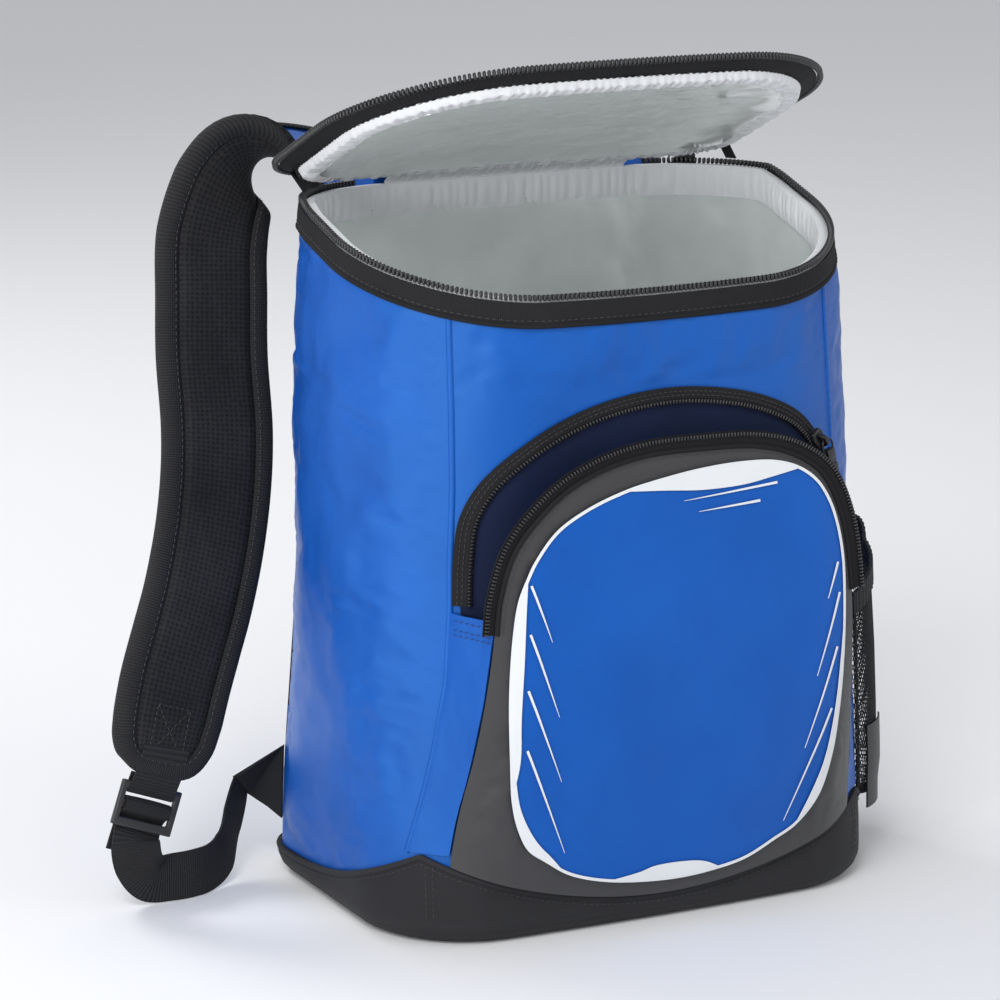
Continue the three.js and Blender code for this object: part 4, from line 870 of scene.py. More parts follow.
def lid_disc(inset, rise, crown):
    def place(u, v):
        turn = all_round(u)
        edge = lid_at(turn, inset, rise)
        middle = on_lid(0.0, np.full_like(u, LID_REACH / 2), rise)
        swell = crown * (1 - v ** 2)
        return middle + (edge - middle) * v[:, None] + LID_UP * swell[:, None]
    return place


PANEL_INSET = LID_TAPE_WIDTH + SEAT
LINING_INSET = PANEL_INSET + LID_BORDER + SEAT
print("lid:", LID_REACH, "mm from hinge to edge, raised", round(math.degrees(LID_TILT), 1), "degrees")


def lid_edge_hold(points):
    reach = (points - HINGE) @ LID_FORWARD
    x, y = points[:, 0], BACK - reach * MOUTH_DEPTH / LID_REACH
    turns = np.linspace(0, 8, 400)
    ring_x, ring_y, _ = outline(LID_FORM, turns, -PANEL_INSET)
    gap = np.min(np.hypot(x[:, None] - ring_x, y[:, None] - ring_y), axis=1)
    return np.clip(1.2 - gap / 6, 0, 1)


panel = laid("lid_padded_panel", 150, 30, lid_disc(PANEL_INSET, WALL - 0.2, LID_CROWN), toward=LID_UP)
puff(panel, lid_edge_hold, pressure=1.0, cap=4.0)
wrinkle(panel, 0.9, 40, 1.3, keep=lambda p: 1 - 0.8 * lid_edge_hold(p))
finished(soften(thicken(panel, 3.2)), BLUE, "blue_cloth", "lid_panel")

# %% [markdown]
# From below, the open lid shows its lining: a shining film inside a puckered grey border, inside the dark
# tape. The film has long soft creases that run across from the hinge.

# %% Lining of the lid
lid_film = laid("lid_film", 150, 34, lid_disc(LINING_INSET - 1.5, -SEAT - 1.9, LID_CROWN), toward=-LID_UP)
wrinkle(lid_film, 1.0, 42, 4.4, (0.5, 1, 1), keep=lambda p: np.clip((130 - np.abs(p[:, 0])) / 40, 0, 1))
wrinkle(lid_film, 0.5, 13, 7.4, (0.7, 1, 1))
sewn(lid_film, 0.8, FILM, "silver_film", ["lid_liner"])


def lid_border_place(u, v):
    turn = all_round(u)
    slack = np.sin(np.pi * np.clip(v, 0, 1))
    fold = 0.85 * puckered(u * ROUND_MOUTH, 6.0, 5.0) * (0.25 + 0.75 * slack)
    turned = 3.4 * np.clip(1 - v / 0.13, 0, 1) ** 1.4
    rise = turned - SEAT - 1.3 - 0.8 * slack + fold
    return lid_at(turn, PANEL_INSET - 1.4 + (LID_BORDER + 2.4) * v, rise)


lid_border = laid("lid_border_cloth", 760, 8, lid_border_place, toward=-LID_UP)
sewn(lid_border, 0.6, LINING, "grey_lining", ["lid_border"])

# %% [markdown]
# The lid's half of the zip is made as the mouth's half was, but its tape leans outwards and its coil stands
# on the edge, because an open coil springs away from its cloth.

# %% Zip of the lid
LID_TAPE_RISE = WALL / 2


def lid_tape_place(u, v):
    turn = evenly(ZIP_FROM, ZIP_TO, u)
    return lid_at(turn, LID_TAPE_WIDTH * (1 - v) + 0.4, LID_TAPE_RISE + 0.6 + LID_TAPE_FLARE * v ** 1.4)


lid_tape = laid("lid_tape", 500, 8, lid_tape_place, toward=LID_UP)
wrinkle(lid_tape, 0.5, 22, 3.6)
finished(soften(thicken(lid_tape, 0.9)), TAPE, "black_webbing", "lid_zip_tape")
coil_rise = LID_TAPE_RISE + LID_TAPE_FLARE + TAPE_THICK / 2
lid_coil = lid_at(zip_turns, -SEAT - TEETH_SIZE / 2, coil_rise)
away = lid_coil - lid_at(zip_turns, 2.0, coil_rise)
coil = joined("lid_coil", [row(COIL, lid_coil, away, COIL_PITCH)])
finished(coil, TEETH, "black_plastic", "lid_zip_teeth")
under_run = lid_at(zip_turns, 8.8, LID_TAPE_RISE - 0.5)
upper_run = lid_at(zip_turns, 7.4, LID_TAPE_RISE + 1.7)
below = np.tile(-LID_UP, (len(zip_turns), 1))
rows = [stitch_line(under_run, below), stitch_line(upper_run, -below), stitch_line(tape_run, tape_out)]
finished(joined("zip_tape_stitches", rows), BLACK_THREAD, "black_webbing")

# %% [markdown]
# The hinge is cloth too: blue outside, grey and gathered inside. Two short tapes join the zip's halves
# beside it, so that the teeth can't tear apart.

# %% Hinge
HINGE_HALF = MOUTH[0] - MOUTH[3]


def strip_along_x(half, path, gather=0.0, pitch=5.0):
    path = np.asarray(path, dtype=float)
    length = travelled(path)

    def place(u, v):
        y, z = read_off(v * length[-1], length, path).T
        x = (u - 0.5) * 2 * half
        fold = gather * puckered(x, pitch, 3.0) * np.sin(np.pi * np.clip(v, 0, 1))
        return xyz(x, y + fold, z)
    return place


HINGE_FACE = BACK + SEAT + CLOTH
tip = on_lid(0.0, np.array([5.0, PANEL_INSET * LID_REACH / MOUTH_DEPTH + 2]), WALL / 2 + 0.8)
hinge = laid("hinge_strip", 90, 18, strip_along_x(HINGE_HALF, [
    (HINGE_FACE, RIM_BACK - 14), (HINGE_FACE, RIM_BACK - 1), (HINGE_FACE - 0.4, RIM_BACK + HINGE_RISE + 2),
    tip[0, 1:], tip[1, 1:]]), toward=(0, 1, 0.3))
wrinkle(hinge, 0.7, 20, 2.9)
sewn(hinge, 1.0, BLUE, "blue_cloth", ["hinge_cloth"])
inner = on_lid(0.0, np.array([9.4, 15.0]), -2.4)
lining_face = BACK + LINER_OUT - 0.6
gathered = laid("hinge_lining_strip", 260, 10, strip_along_x(HINGE_HALF - 3, [
    (lining_face, RIM_BACK + COLLAR_LIP - 0.5), (lining_face - 0.6, RIM_BACK + COLLAR_LIP + 1.6),
    inner[0, 1:], inner[1, 1:]], 0.7, 4.6), toward=TO_FRONT)
sewn(gathered, 0.6, LINING, "grey_lining", ["hinge_lining"])

# %% [markdown]
# ## The front pocket
# The pocket's front is a crowned panel of charcoal satin that stands off the bag and leans forward at its
# unzipped top. Its form is a table of stand-offs over the bag's front. The panel is laid as a disc that
# runs from its middle to its edge, swollen a little, with slack folds low down at the sides.

# %% Form of the pocket
POCKET_WIDTH, POCKET_HEIGHT, POCKET_STAND = 224.0, 249.0, 21.5
SWELL = np.array([(0, 0.03, 0.95), (0.10, 0.26, 0.95), (0.18, 0.46, 0.80), (0.29, 0.71, 0.50),
                  (0.40, 0.89, 0.30), (0.52, 0.98, 0.10), (0.66, 1, -0.10), (0.80, 0.93, -0.10),
                  (0.92, 0.78, 0), (1, 0.66, 0.10)])
POCKET_EDGE = np.array([
    (-1, 0.175), (-0.975, 0.290), (-0.940, 0.395), (-0.908, 0.510), (-0.880, 0.630), (-0.860, 0.715),
    (-0.785, 0.810), (-0.620, 0.890), (-0.420, 0.940), (-0.170, 0.967), (0.125, 0.970), (0.400, 0.962),
    (0.590, 0.937), (0.740, 0.890), (0.835, 0.805), (0.880, 0.690), (0.905, 0.570), (0.935, 0.410),
    (0.970, 0.290), (1, 0.175)])
PANEL_EDGE = np.array([
    (-0.698, 0.789), (-0.743, 0.753), (-0.783, 0.709), (-0.811, 0.626), (-0.819, 0.512), (-0.805, 0.393),
    (-0.786, 0.303), (-0.753, 0.247), (-0.701, 0.202), (-0.619, 0.174), (-0.512, 0.142), (-0.384, 0.121),
    (-0.215, 0.106), (0.045, 0.098), (0.247, 0.105), (0.379, 0.117), (0.521, 0.146), (0.630, 0.170),
    (0.740, 0.222), (0.800, 0.300), (0.825, 0.400), (0.832, 0.520), (0.828, 0.620), (0.818, 0.720),
    (0.790, 0.790), (0.750, 0.838), (0.690, 0.878), (0.600, 0.908), (0.480, 0.926), (0.310, 0.932),
    (0.095, 0.928), (-0.123, 0.915), (-0.269, 0.902), (-0.450, 0.875), (-0.600, 0.838)])
MIDDLE, EDGE = eased(SWELL[:, 0], SWELL[:, 1]), eased(SWELL[:, 0], SWELL[:, 2])


def front_of_bag(x, z):
    y = np.full_like(np.asarray(x, dtype=float), MOUTH[1])
    for _ in range(3):
        half, front, corner, _, bow = section((z - FOOT_TOP) / (rim(y) - FOOT_TOP))
        past = np.clip(np.abs(x) - half + corner, 0, corner - 1)
        flat = front + corner - np.sqrt(corner ** 2 - past ** 2)
        forward = np.clip((BACK - flat) / (BACK - front), 0, 1)
        y = flat - bow * (1 - (x / half) ** 2) * forward
    return y


def front_of_pocket(x, z):
    height = z / POCKET_HEIGHT
    edge = np.interp(height, DENSE, EDGE) * np.abs(2 * x / POCKET_WIDTH) ** 3
    return front_of_bag(x, z) - BASE_OUT - POCKET_STAND * np.interp(height, DENSE, MIDDLE) * (1 - edge)


def on_pocket(x, z, off=0.0):
    return xyz(x, front_of_pocket(x, z) - off, z)


def on_front(x, z, off=0.0):
    return xyz(x, front_of_bag(x, z) - off, z)


def spline(points, shares, closed=False):
    points = np.asarray(points, dtype=float)
    if closed:
        ring = np.concatenate([points[-1:], points, points[:2]])
    else:
        ring = np.concatenate([[2 * points[0] - points[1]], points, [2 * points[-1] - points[-2]]])
    spans = len(ring) - 3
    place = np.clip(np.asarray(shares, dtype=float), 0, 1) * spans
    index = np.minimum(np.floor(place).astype(int), spans - 1)
    part = (place - index)[:, None]
    p0, p1, p2, p3 = (ring[index + i] for i in range(4))
    d0, d1, d2 = (np.maximum(np.linalg.norm(b - a, axis=1), 1e-4)[:, None] ** 0.5
                  for a, b in ((p0, p1), (p1, p2), (p2, p3)))
    t1 = ((p1 - p0) / d0 - (p2 - p0) / (d0 + d1) + (p2 - p1) / d1) * d1
    t2 = ((p2 - p1) / d1 - (p3 - p1) / (d1 + d2) + (p3 - p2) / d2) * d1
    return (p1 + t1 * part + (3 * (p2 - p1) - 2 * t1 - t2) * part ** 2
            + (2 * (p1 - p2) + t1 + t2) * part ** 3)


def even_spline(points, count, closed=False):
    fine = spline(points, np.linspace(0, 1, 2400), closed)
    length = travelled(fine)
    return read_off(np.linspace(0, length[-1], count), length, fine)


POCKET_SCALE = np.array([POCKET_WIDTH / 2, POCKET_HEIGHT])
arch = even_spline(POCKET_EDGE * POCKET_SCALE, 300)
front_turns = np.linspace(5, 8, 600)
foot_across = outline(section(0.0), front_turns)[0]


def hem_height(x):
    return base_edge(np.interp(x, foot_across, front_turns)) + 2 * SEAT


hem_x = np.linspace(arch[-1, 0], arch[0, 0], 160)[1:-1]
arch[0, 1], arch[-1, 1] = hem_height(arch[0, 0]), hem_height(arch[-1, 0])
pocket_loop = np.concatenate([arch, xyz(hem_x, hem_height(hem_x)), arch[:1]])
POCKET_MIDDLE = np.array([0, POCKET_HEIGHT * 0.55])


def loop_at(loop, u):
    length = travelled(loop)
    return read_off(u * length[-1], length, loop)


def patch(loop, off):
    def place(u, v):
        flat = POCKET_MIDDLE + (loop_at(loop, u) - POCKET_MIDDLE) * v[:, None]
        return on_pocket(flat[:, 0], flat[:, 1], off)
    return place


def pocket_hold(points):
    gap = np.full(len(points), 99.0)
    for a in pocket_loop[::3]:
        gap = np.minimum(gap, np.hypot(points[:, 0] - a[0], points[:, 2] - a[1]))
    return np.clip(1.25 - gap / 9, 0, 1)


def pocket_folds(points):
    low = np.clip((120 - points[:, 2]) / 90, 0, 1)
    return (0.25 + 0.75 * low) * (1 - pocket_hold(points))


print("pocket edge:", round(travelled(pocket_loop)[-1]), "mm")

# %% [markdown]
# The charcoal cloth is satin with little body, so the simulation only rounds it, and the folds come from
# noise that is kept low down and away from the stitched edge.

# %% Charcoal panel
pocket = laid("pocket_front_cloth", 240, 56, patch(pocket_loop, -0.2), toward=TO_FRONT)
puff(pocket, lambda p: np.maximum(pocket_hold(p), np.where(p[:, 2] > 200, 0.6, 0.1)), pressure=0.4, cap=1.2)
wrinkle(pocket, 0.9, 30, 4.6, (1, 1, 0.5), pocket_folds)
sewn(pocket, 1.4, CHARCOAL, "charcoal_satin", ["pocket_front"])

# %% [markdown]
# The blue insert is printed cloth with a thin white edge and a few tapered stripes, which is how many
# sports bags are trimmed. The stripes are thin patches on the cloth, so that they follow the crown.

# %% Insert, white edge and stripes
panel_loop = even_spline(PANEL_EDGE * POCKET_SCALE, 400, closed=True)
insert = laid("pocket_insert", 160, 40, patch(panel_loop, 1.25), toward=TO_FRONT)
wrinkle(insert, 0.35, 40, 4.6, keep=lambda p: np.clip((150 - p[:, 2]) / 60, 0, 1))
sewn(insert, 0.5, PRINT, "blue_cloth", ["pocket_panel"])


PRINT_THICK = 0.3


def streak(name, points, widths, off):
    points = np.asarray(points, dtype=float) * POCKET_SCALE
    ahead = unit(np.gradient(points, axis=0))
    side = np.stack([-ahead[:, 1], ahead[:, 0]], -1)

    def place(u, v):
        wide = along(u, widths[:, None])
        flat = along(u, points) + along(u, side) * ((v - 0.5)[:, None] * wide)
        return on_pocket(flat[:, 0], flat[:, 1], off)
    columns = max(6, min(len(points) * 3, 300))
    return soften(thicken(laid(name, columns, 2, place, toward=TO_FRONT), PRINT_THICK))


def whole(pieces, name):
    only(pieces[0])
    for piece in pieces:
        piece.select_set(True)
    bpy.ops.object.join()
    pieces[0].name = pieces[0].data.name = name
    return pieces[0]


def between(outer, inner, off):
    """A patch between two edges that meet at their ends."""
    outer, inner = (even_spline(np.array(edge) * POCKET_SCALE, 40) for edge in (outer, inner))

    def place(u, v):
        flat = along(u, outer) + (along(u, inner) - along(u, outer)) * v[:, None]
        return on_pocket(flat[:, 0], flat[:, 1], off)
    return soften(thicken(laid("area", 39, 5, place, toward=TO_FRONT), PRINT_THICK))


def tapered(start, end, most, off, count=12):
    share = np.linspace(0, 1, count)[:, None]
    line = np.array(start) + (np.array(end) - np.array(start)) * share
    return streak("pin", line, most * (1 - 0.85 * share[:, 0] ** 1.5), off)


edge_share = panel_loop / POCKET_SCALE
closed_edge = np.concatenate([edge_share, edge_share[1:2]])
stripes = [streak("edge", closed_edge, np.full(len(closed_edge), 1.5), 2.1)]
WHITE_AREAS = [
    ([(-0.269, 0.902), (-0.123, 0.915), (0.095, 0.928), (0.310, 0.932), (0.480, 0.926), (0.600, 0.908)],
     [(-0.269, 0.902), (-0.080, 0.896), (0.105, 0.889), (0.311, 0.890), (0.450, 0.898), (0.600, 0.908)]),
    ([(-0.743, 0.753), (-0.783, 0.709), (-0.811, 0.626), (-0.819, 0.512), (-0.805, 0.393), (-0.790, 0.320)],
     [(-0.743, 0.753), (-0.756, 0.680), (-0.764, 0.600), (-0.772, 0.476), (-0.768, 0.390), (-0.790, 0.320)]),
    ([(-0.806, 0.400), (-0.786, 0.303), (-0.753, 0.247), (-0.701, 0.202), (-0.619, 0.174), (-0.540, 0.150)],
     [(-0.790, 0.372), (-0.755, 0.292), (-0.700, 0.238), (-0.650, 0.206), (-0.600, 0.182), (-0.540, 0.150)]),
    ([(-0.300, 0.113), (-0.215, 0.106), (-0.080, 0.102), (0.045, 0.098), (0.160, 0.101), (0.247, 0.105)],
     [(-0.300, 0.113), (-0.160, 0.122), (-0.092, 0.130), (0.038, 0.131), (0.156, 0.124), (0.247, 0.105)]),
    ([(0.828, 0.620), (0.832, 0.520), (0.825, 0.400), (0.800, 0.300), (0.740, 0.222), (0.630, 0.170)],
     [(0.828, 0.620), (0.818, 0.520), (0.800, 0.400), (0.762, 0.300), (0.706, 0.236), (0.630, 0.170)])]
for outer, inner in WHITE_AREAS:
    stripes.append(between(outer, inner, 2.25))
PIN_STRIPES = [
    ((-0.730, 0.741), (-0.640, 0.627)), ((-0.739, 0.646), (-0.602, 0.475)),
    ((-0.746, 0.534), (-0.578, 0.340)), ((-0.741, 0.412), (-0.538, 0.187)),
    ((0.786, 0.711), (0.727, 0.641)), ((0.795, 0.649), (0.680, 0.484)),
    ((0.790, 0.537), (0.640, 0.334)), ((0.778, 0.408), (0.560, 0.182)),
    ((0.478, 0.886), (0.008, 0.872)), ((0.386, 0.855), (0.078, 0.848))]
for start, end in PIN_STRIPES:
    stripes.append(tapered(start, end, 1.2, 2.25))
finished(whole(stripes, "pocket_stripes"), WHITE, "white_print", "pocket_trim")

# %% [markdown]
# Short blue strips close the pocket's sides below the zip. The left strip's upper end is stitched down in
# three rows, which takes the pull when the pocket is opened.

# %% Side strips
GUSSET_TOP = 160.0
STRIP_TOP = GUSSET_TOP + 6.5
SIDE_SEAM = np.array([(40.95, 128.1), (78.75, 120.1), (99.2, 115.9), (132.3, 110.6), (166.9, 107.8)])


def gusset_place(side):
    low = BASE_LOW + BASE_RISE + 0.6

    def place(u, v):
        z = low + (STRIP_TOP - low) * v
        seam = np.interp(z, *SIDE_SEAM.T)
        edge = np.interp(z / POCKET_HEIGHT, POCKET_EDGE[:6, 1], -POCKET_EDGE[:6, 0])
        edge = edge * POCKET_WIDTH / 2 + 0.4
        out = front_of_bag(seam, z) - 1.0
        standing = front_of_pocket(edge, z) + 1.2
        sag = 1.6 * np.sin(np.pi * u) * np.sin(np.pi * v) ** 0.5
        across = seam + (edge - seam) * u - sag * 0.3
        return xyz(side * across, out + (standing - out) * u ** 0.8 + sag, z)
    return place


for side, name, _ in SIDES:
    strip = laid(f"pocket_side_{name}", 26, 60, gusset_place(side), toward=(side, -0.6, 0))
    wrinkle(strip, 0.8, 22, 5.5 + side, (1, 1, 0.6))
    sewn(strip, 0.9, BLUE, "blue_cloth", [f"pocket_gusset_{name}"])

ends = []
for drop in (3.0, 7.5, 10.0):
    share = np.linspace(0.06, 0.97, 20)
    run = gusset_place(-1)(share, np.full(20, 1 - drop / (STRIP_TOP - 46)))
    ends.append(stitch_line(run + np.array([-0.5, -0.9, 0]), np.tile([-0.7, -0.7, 0.0], (20, 1)), 3.6, 0.1))
finished(joined("pocket_side_stitches", ends), BLUE_THREAD, "blue_cloth")

# %% [markdown]
# The pocket's zip is unzipped along the whole arch. One half lies on the bag and the other stands on the
# pocket's edge, each with its own tape and coil.

# %% Zip of the pocket
POCKET_TAPE, POCKET_TEETH, ARCH_FOOT, ARCH_TOP = 7.5, 2.4, 170.0, 268.0
ARCH = np.array([
    (-0.955, 0), (-0.945, 0.22), (-0.915, 0.44), (-0.825, 0.62), (-0.625, 0.80), (-0.340, 0.94), (0, 1),
    (0.312, 0.97), (0.560, 0.89), (0.730, 0.78), (0.860, 0.60), (0.930, 0.41), (0.950, 0.20), (0.955, 0)])
zip_line = even_spline(ARCH * (POCKET_WIDTH / 2, ARCH_TOP - ARCH_FOOT) + (0, ARCH_FOOT), 260)
edge_line = even_spline(POCKET_EDGE * POCKET_SCALE, 420)
edge_line = edge_line[edge_line[:, 1] > GUSSET_TOP]
SMALL_COIL, SMALL_PITCH = small((1.0, 2.2, 2.0), 0.3), 1.75


def beside(line, distance):
    """A flat line moved sideways, to the right of the way it runs."""
    ahead = unit(np.gradient(line, axis=0))
    return line + np.stack([ahead[:, 1], -ahead[:, 0]], -1) * distance


def band_place(line, near, far, surface, low, high):
    def place(u, v):
        inner, outer = along(u, beside(line, near)), along(u, beside(line, far))
        return surface(inner + (outer - inner) * v[:, None], inner, low + (high - low) * v)
    return place


def over_bag(flat, _, off):
    return on_front(flat[:, 0], flat[:, 1], off)


def over_edge(flat, edge, off):
    return xyz(flat[:, 0], front_of_pocket(edge[:, 0], edge[:, 1]) - off, flat[:, 1])


inside_loop = np.concatenate([beside(zip_line, 3.0), [(100.0, 120.0), (0.0, 110.0), (-100.0, 120.0)]])
inside_loop = np.concatenate([inside_loop, inside_loop[:1]])


def inside_place(u, v):
    flat = np.array([0.0, 175.0]) + (loop_at(inside_loop, u) - (0.0, 175.0)) * v[:, None]
    return on_front(flat[:, 0], flat[:, 1], 1.3)


# The pocket's inside is a nearly black navy sheet on the bag's front: partly a lining, partly painted shade
# for the shadow in the open pocket.
inside = laid("pocket_inner_cloth_and_painted_shade", 160, 24, inside_place, toward=TO_FRONT)
sewn(inside, 0.6, NAVY_LINING_AND_SHADE, "blue_cloth", [])
outer_tape = laid("pocket_tape_outer", 240, 6, band_place(zip_line, -0.5, POCKET_TAPE, over_bag, 1.4, 2.2),
                  toward=TO_FRONT)
finished(soften(thicken(outer_tape, 0.8)), TAPE, "black_webbing", "pocket_zip_tape_outer")
inner_tape = laid("pocket_tape_inner", 240, 6, band_place(edge_line, 1.0, -6.6, over_edge, -0.6, 0.1),
                  toward=TO_FRONT)
finished(soften(thicken(inner_tape, 0.8)), TAPE, "black_webbing", "pocket_zip_tape_inner")


def forward(line):
    return np.tile([0.0, -1.0, 0.0], (len(line), 1))


coil_at = beside(zip_line, POCKET_TAPE - POCKET_TEETH / 2)
rows = row(SMALL_COIL, on_front(coil_at[:, 0], coil_at[:, 1], 3.3), forward(coil_at), SMALL_PITCH)
finished(joined("pocket_coil_outer", [rows]), TEETH, "black_plastic", "pocket_zip_teeth_outer")
coil_at = beside(edge_line, -(SEAT + 6.0 - POCKET_TEETH / 2))
run = over_edge(coil_at, edge_line, 1.2)
rows = row(SMALL_COIL, run, forward(run), SMALL_PITCH)
finished(joined("pocket_coil_inner", [rows]), TEETH, "black_plastic", "pocket_zip_teeth_inner")
rows = []
for distance in (1.6, 3.6):
    line = beside(zip_line, distance)
    rows.append(stitch_line(on_front(line[:, 0], line[:, 1], 1.9), forward(line), 2.8))
line = beside(edge_line, 3.2)
rows.append(stitch_line(on_pocket(line[:, 0], line[:, 1], 0.6), forward(line), 2.8))
finished(joined("pocket_zip_stitches", rows), BLACK_THREAD, "black_webbing")
piping_line = beside(edge_line, 0.9)
piped = ridge("pocket_piping", on_pocket(piping_line[:, 0], piping_line[:, 1], 0.3),
              forward(piping_line), 2.6, 1.1, pucker=0.15, pitch=3.2)
finished(piped, TAPE, "black_webbing")

# %% [markdown]
# ## The side pocket
# A net pocket hangs on the right side. Its net is a lattice of six-sided holes, made flat, laid on the
# pocket's form and turned to threads by a Wireframe modifier. An elastic band gathers its mouth.

# %% Net and elastic
MESH_START, MESH_END, MESH_BULGE = 7.6, 9.25, 26.0
MESH_FRONT, MESH_RISE, MESH_SAG, BAND_HEIGHT = 145.0, 24.0, 7.0, 11.0
NET_ROWS = np.array([(0, 0, 0), (0.02, 0.55, 1), (0.06, 0.86, 0.9), (0.16, 0.96, 0.4), (0.40, 1, 0),
                     (0.70, 1, 0), (1, 0.94, 0)])


def net_share(turn):
    return np.clip((turn - MESH_START) / (MESH_END - MESH_START), 0, 1)


def net_swell(turn):
    return MESH_BULGE * np.sin(np.pi * net_share(turn)) ** 0.8


def net_mouth(turn):
    return MESH_FRONT + MESH_RISE * np.sin(np.minimum(1, 2 * net_share(turn)) * np.pi / 2)


def net_point(turn, height, off=0.0):
    seam, top = base_edge(turn) + 1, net_mouth(turn) - BAND_HEIGHT
    swell = np.interp(height, NET_ROWS[:, 0], NET_ROWS[:, 1])
    sag = np.interp(height, NET_ROWS[:, 0], NET_ROWS[:, 2]) * np.sin(np.pi * net_share(turn)) * MESH_SAG
    z = seam + height * (top - seam) - sag
    return wall(share_at(z, turn), turn, 2 * SEAT + net_swell(turn) * swell + 0.6 + off)


HOLE, NET_WIDE, NET_TALL = 2.9, 165.0, 138.0
ROW_STEP, HOLE_RADIUS = HOLE * 0.866, HOLE / math.sqrt(3)
SIX_SIDES = [math.radians(angle) for angle in range(0, 360, 60)]
faces, corners = [], {}


def corner(x, y):
    key = (round(x, 3), round(y, 3))
    return corners.setdefault(key, len(corners))


for i in range(int(NET_WIDE / HOLE) + 1):
    for j in range(int(NET_TALL / ROW_STEP) + 1):
        x, y = (i + 0.5 * (j % 2)) * HOLE, j * HOLE * 0.866
        if x <= NET_WIDE and y <= NET_TALL:
            faces.append([corner(x + HOLE_RADIUS * math.sin(angle), y + HOLE_RADIUS * math.cos(angle))
                          for angle in SIX_SIDES])
lattice = np.array(list(corners))
share = np.clip(lattice / (NET_WIDE, NET_TALL), 0, 1)
turns = evenly(MESH_START, MESH_END, share[:, 0])
mesh = bpy.data.meshes.new("side_net")
mesh.from_pydata((net_point(turns, share[:, 1]) * MM).tolist(), [], faces)
net = bpy.data.objects.new("side_net", mesh)
bpy.context.collection.objects.link(net)
apply(net, "WIREFRAME", thickness=0.0007, use_replace=True, use_boundary=True, use_even_offset=False)
finished(net, NET, "black_mesh", "side_mesh_pocket")


def elastic_place(u, v):
    turn = evenly(MESH_START, MESH_END, u)
    out = 2 * SEAT + net_swell(turn) * 0.94 + 0.4 + 0.35 * np.sin(u * 2 * np.pi * 34)
    z = net_mouth(turn) - BAND_HEIGHT - 0.4 + (BAND_HEIGHT + 0.4) * v
    return wall(share_at(z, turn), turn, out)


elastic = laid("side_elastic", 200, 6, elastic_place)
finished(soften(thicken(elastic, 1.6, inward=False)), ELASTIC, "black_webbing", "mesh_pocket_band")


def net_hem_place(u, v):
    return net_point(evenly(MESH_START, MESH_END, u), 0.035 * v, 0.2)


net_hem = laid("side_net_hem", 120, 4, net_hem_place)
finished(soften(thicken(net_hem, 0.8)), TAPE, "black_webbing")
levels = np.linspace(0, 1, 40)
for turn, name in ((MESH_START + 0.006, "front"), (MESH_END - 0.006, "back")):
    run = net_point(np.full(40, turn), levels, 0.0)
    normals = net_point(np.full(40, turn), levels, 1.0) - run
    finished(ridge(f"side_net_{name}_edge", run, normals, 4.0, 1.2), TAPE, "black_webbing")


TAG_START, TAG_SPAN, TAG_LOW, TAG_TALL = 7.65, 0.23, 31.0, 43


def tag_place(u, v):
    turn = TAG_START + TAG_SPAN * u
    z = TAG_LOW + TAG_TALL * v
    seam, top = base_edge(turn) + 1, net_mouth(turn) - BAND_HEIGHT
    height = np.clip((z - seam) / (top - seam), 0.06, 1)
    swell = np.interp(height, NET_ROWS[:, 0], NET_ROWS[:, 1])
    bow = 0.5 * np.sin(np.pi * v) + 0.3 * np.sin(np.pi * u)
    return wall(share_at(z, turn), turn, 2 * SEAT + 1.8 + bow * 0.6 + net_swell(turn) * swell)


tag = laid("side_blank_tag", 14, 30, tag_place)
finished(soften(thicken(tag, 0.9, inward=False)), TAG_SATIN, "black_webbing", "side_tag")

# %% [markdown]
# ## Shoulder straps
# Each strap is a foam pad between air mesh and blue cloth, edged with a wide woven binding. Its path is a
# table of places with the direction of its outer edge. A spline through them gives a frame at any distance
# along the strap. The pad, its cloths, the binding and the webbing are all laid in that frame.

# %% Strap paths
STRAP_WIDTH, BINDING, WEBBING_WIDTH, STRAP_STAND, STRAP_REACH = 58.0, 9.0, 25.0, 28.0, 100.0
# each row: out, back, up, width, then the way that the edge points
LEFT_STRAP = np.array([
    (-0.68, 0.205, 0.915, 1, -1, 0, 0), (-0.66, 0.40, 0.975, 1, -1, -0.06, 0.05),
    (-0.53, 0.98, 1.032, 1, -0.75, -0.45, -0.05), (-0.31, 1.36, 1.055, 1, -0.28, -0.88, -0.12),
    (-0.11, 1.28, 1.040, 1, -0.62, -0.55, 0.55), (0.02, 1.02, 1.000, 1, -0.90, -0.12, 0.40),
    (0.105, 0.88, 0.935, 1, -1, 0, 0.08), (0.140, 0.67, 0.847, 1, -1, 0, 0.06),
    (0.170, 0.44, 0.768, 1, -1, 0, 0.08), (0.200, 0.00, 0.667, 1, -1, 0, 0.12),
    (0.250, -0.34, 0.596, 1, -1, 0, 0.22), (0.330, -0.68, 0.517, 1, -1, 0, 0.32),
    (0.440, -1.04, 0.438, 1, -1, 0, 0.40), (0.527, -1.25, 0.384, 1, -1, 0, 0.42),
    (0.615, -1.43, 0.325, 1, -1, 0, 0.40), (0.672, -1.57, 0.280, 0.98, -1, 0, 0.38),
    (0.710, -1.63, 0.243, 0.92, -1, 0, 0.40), (0.738, -1.66, 0.217, 0.76, -1, 0, 0.46),
    (0.758, -1.68, 0.202, 0.48, -1, 0, 0.50)])
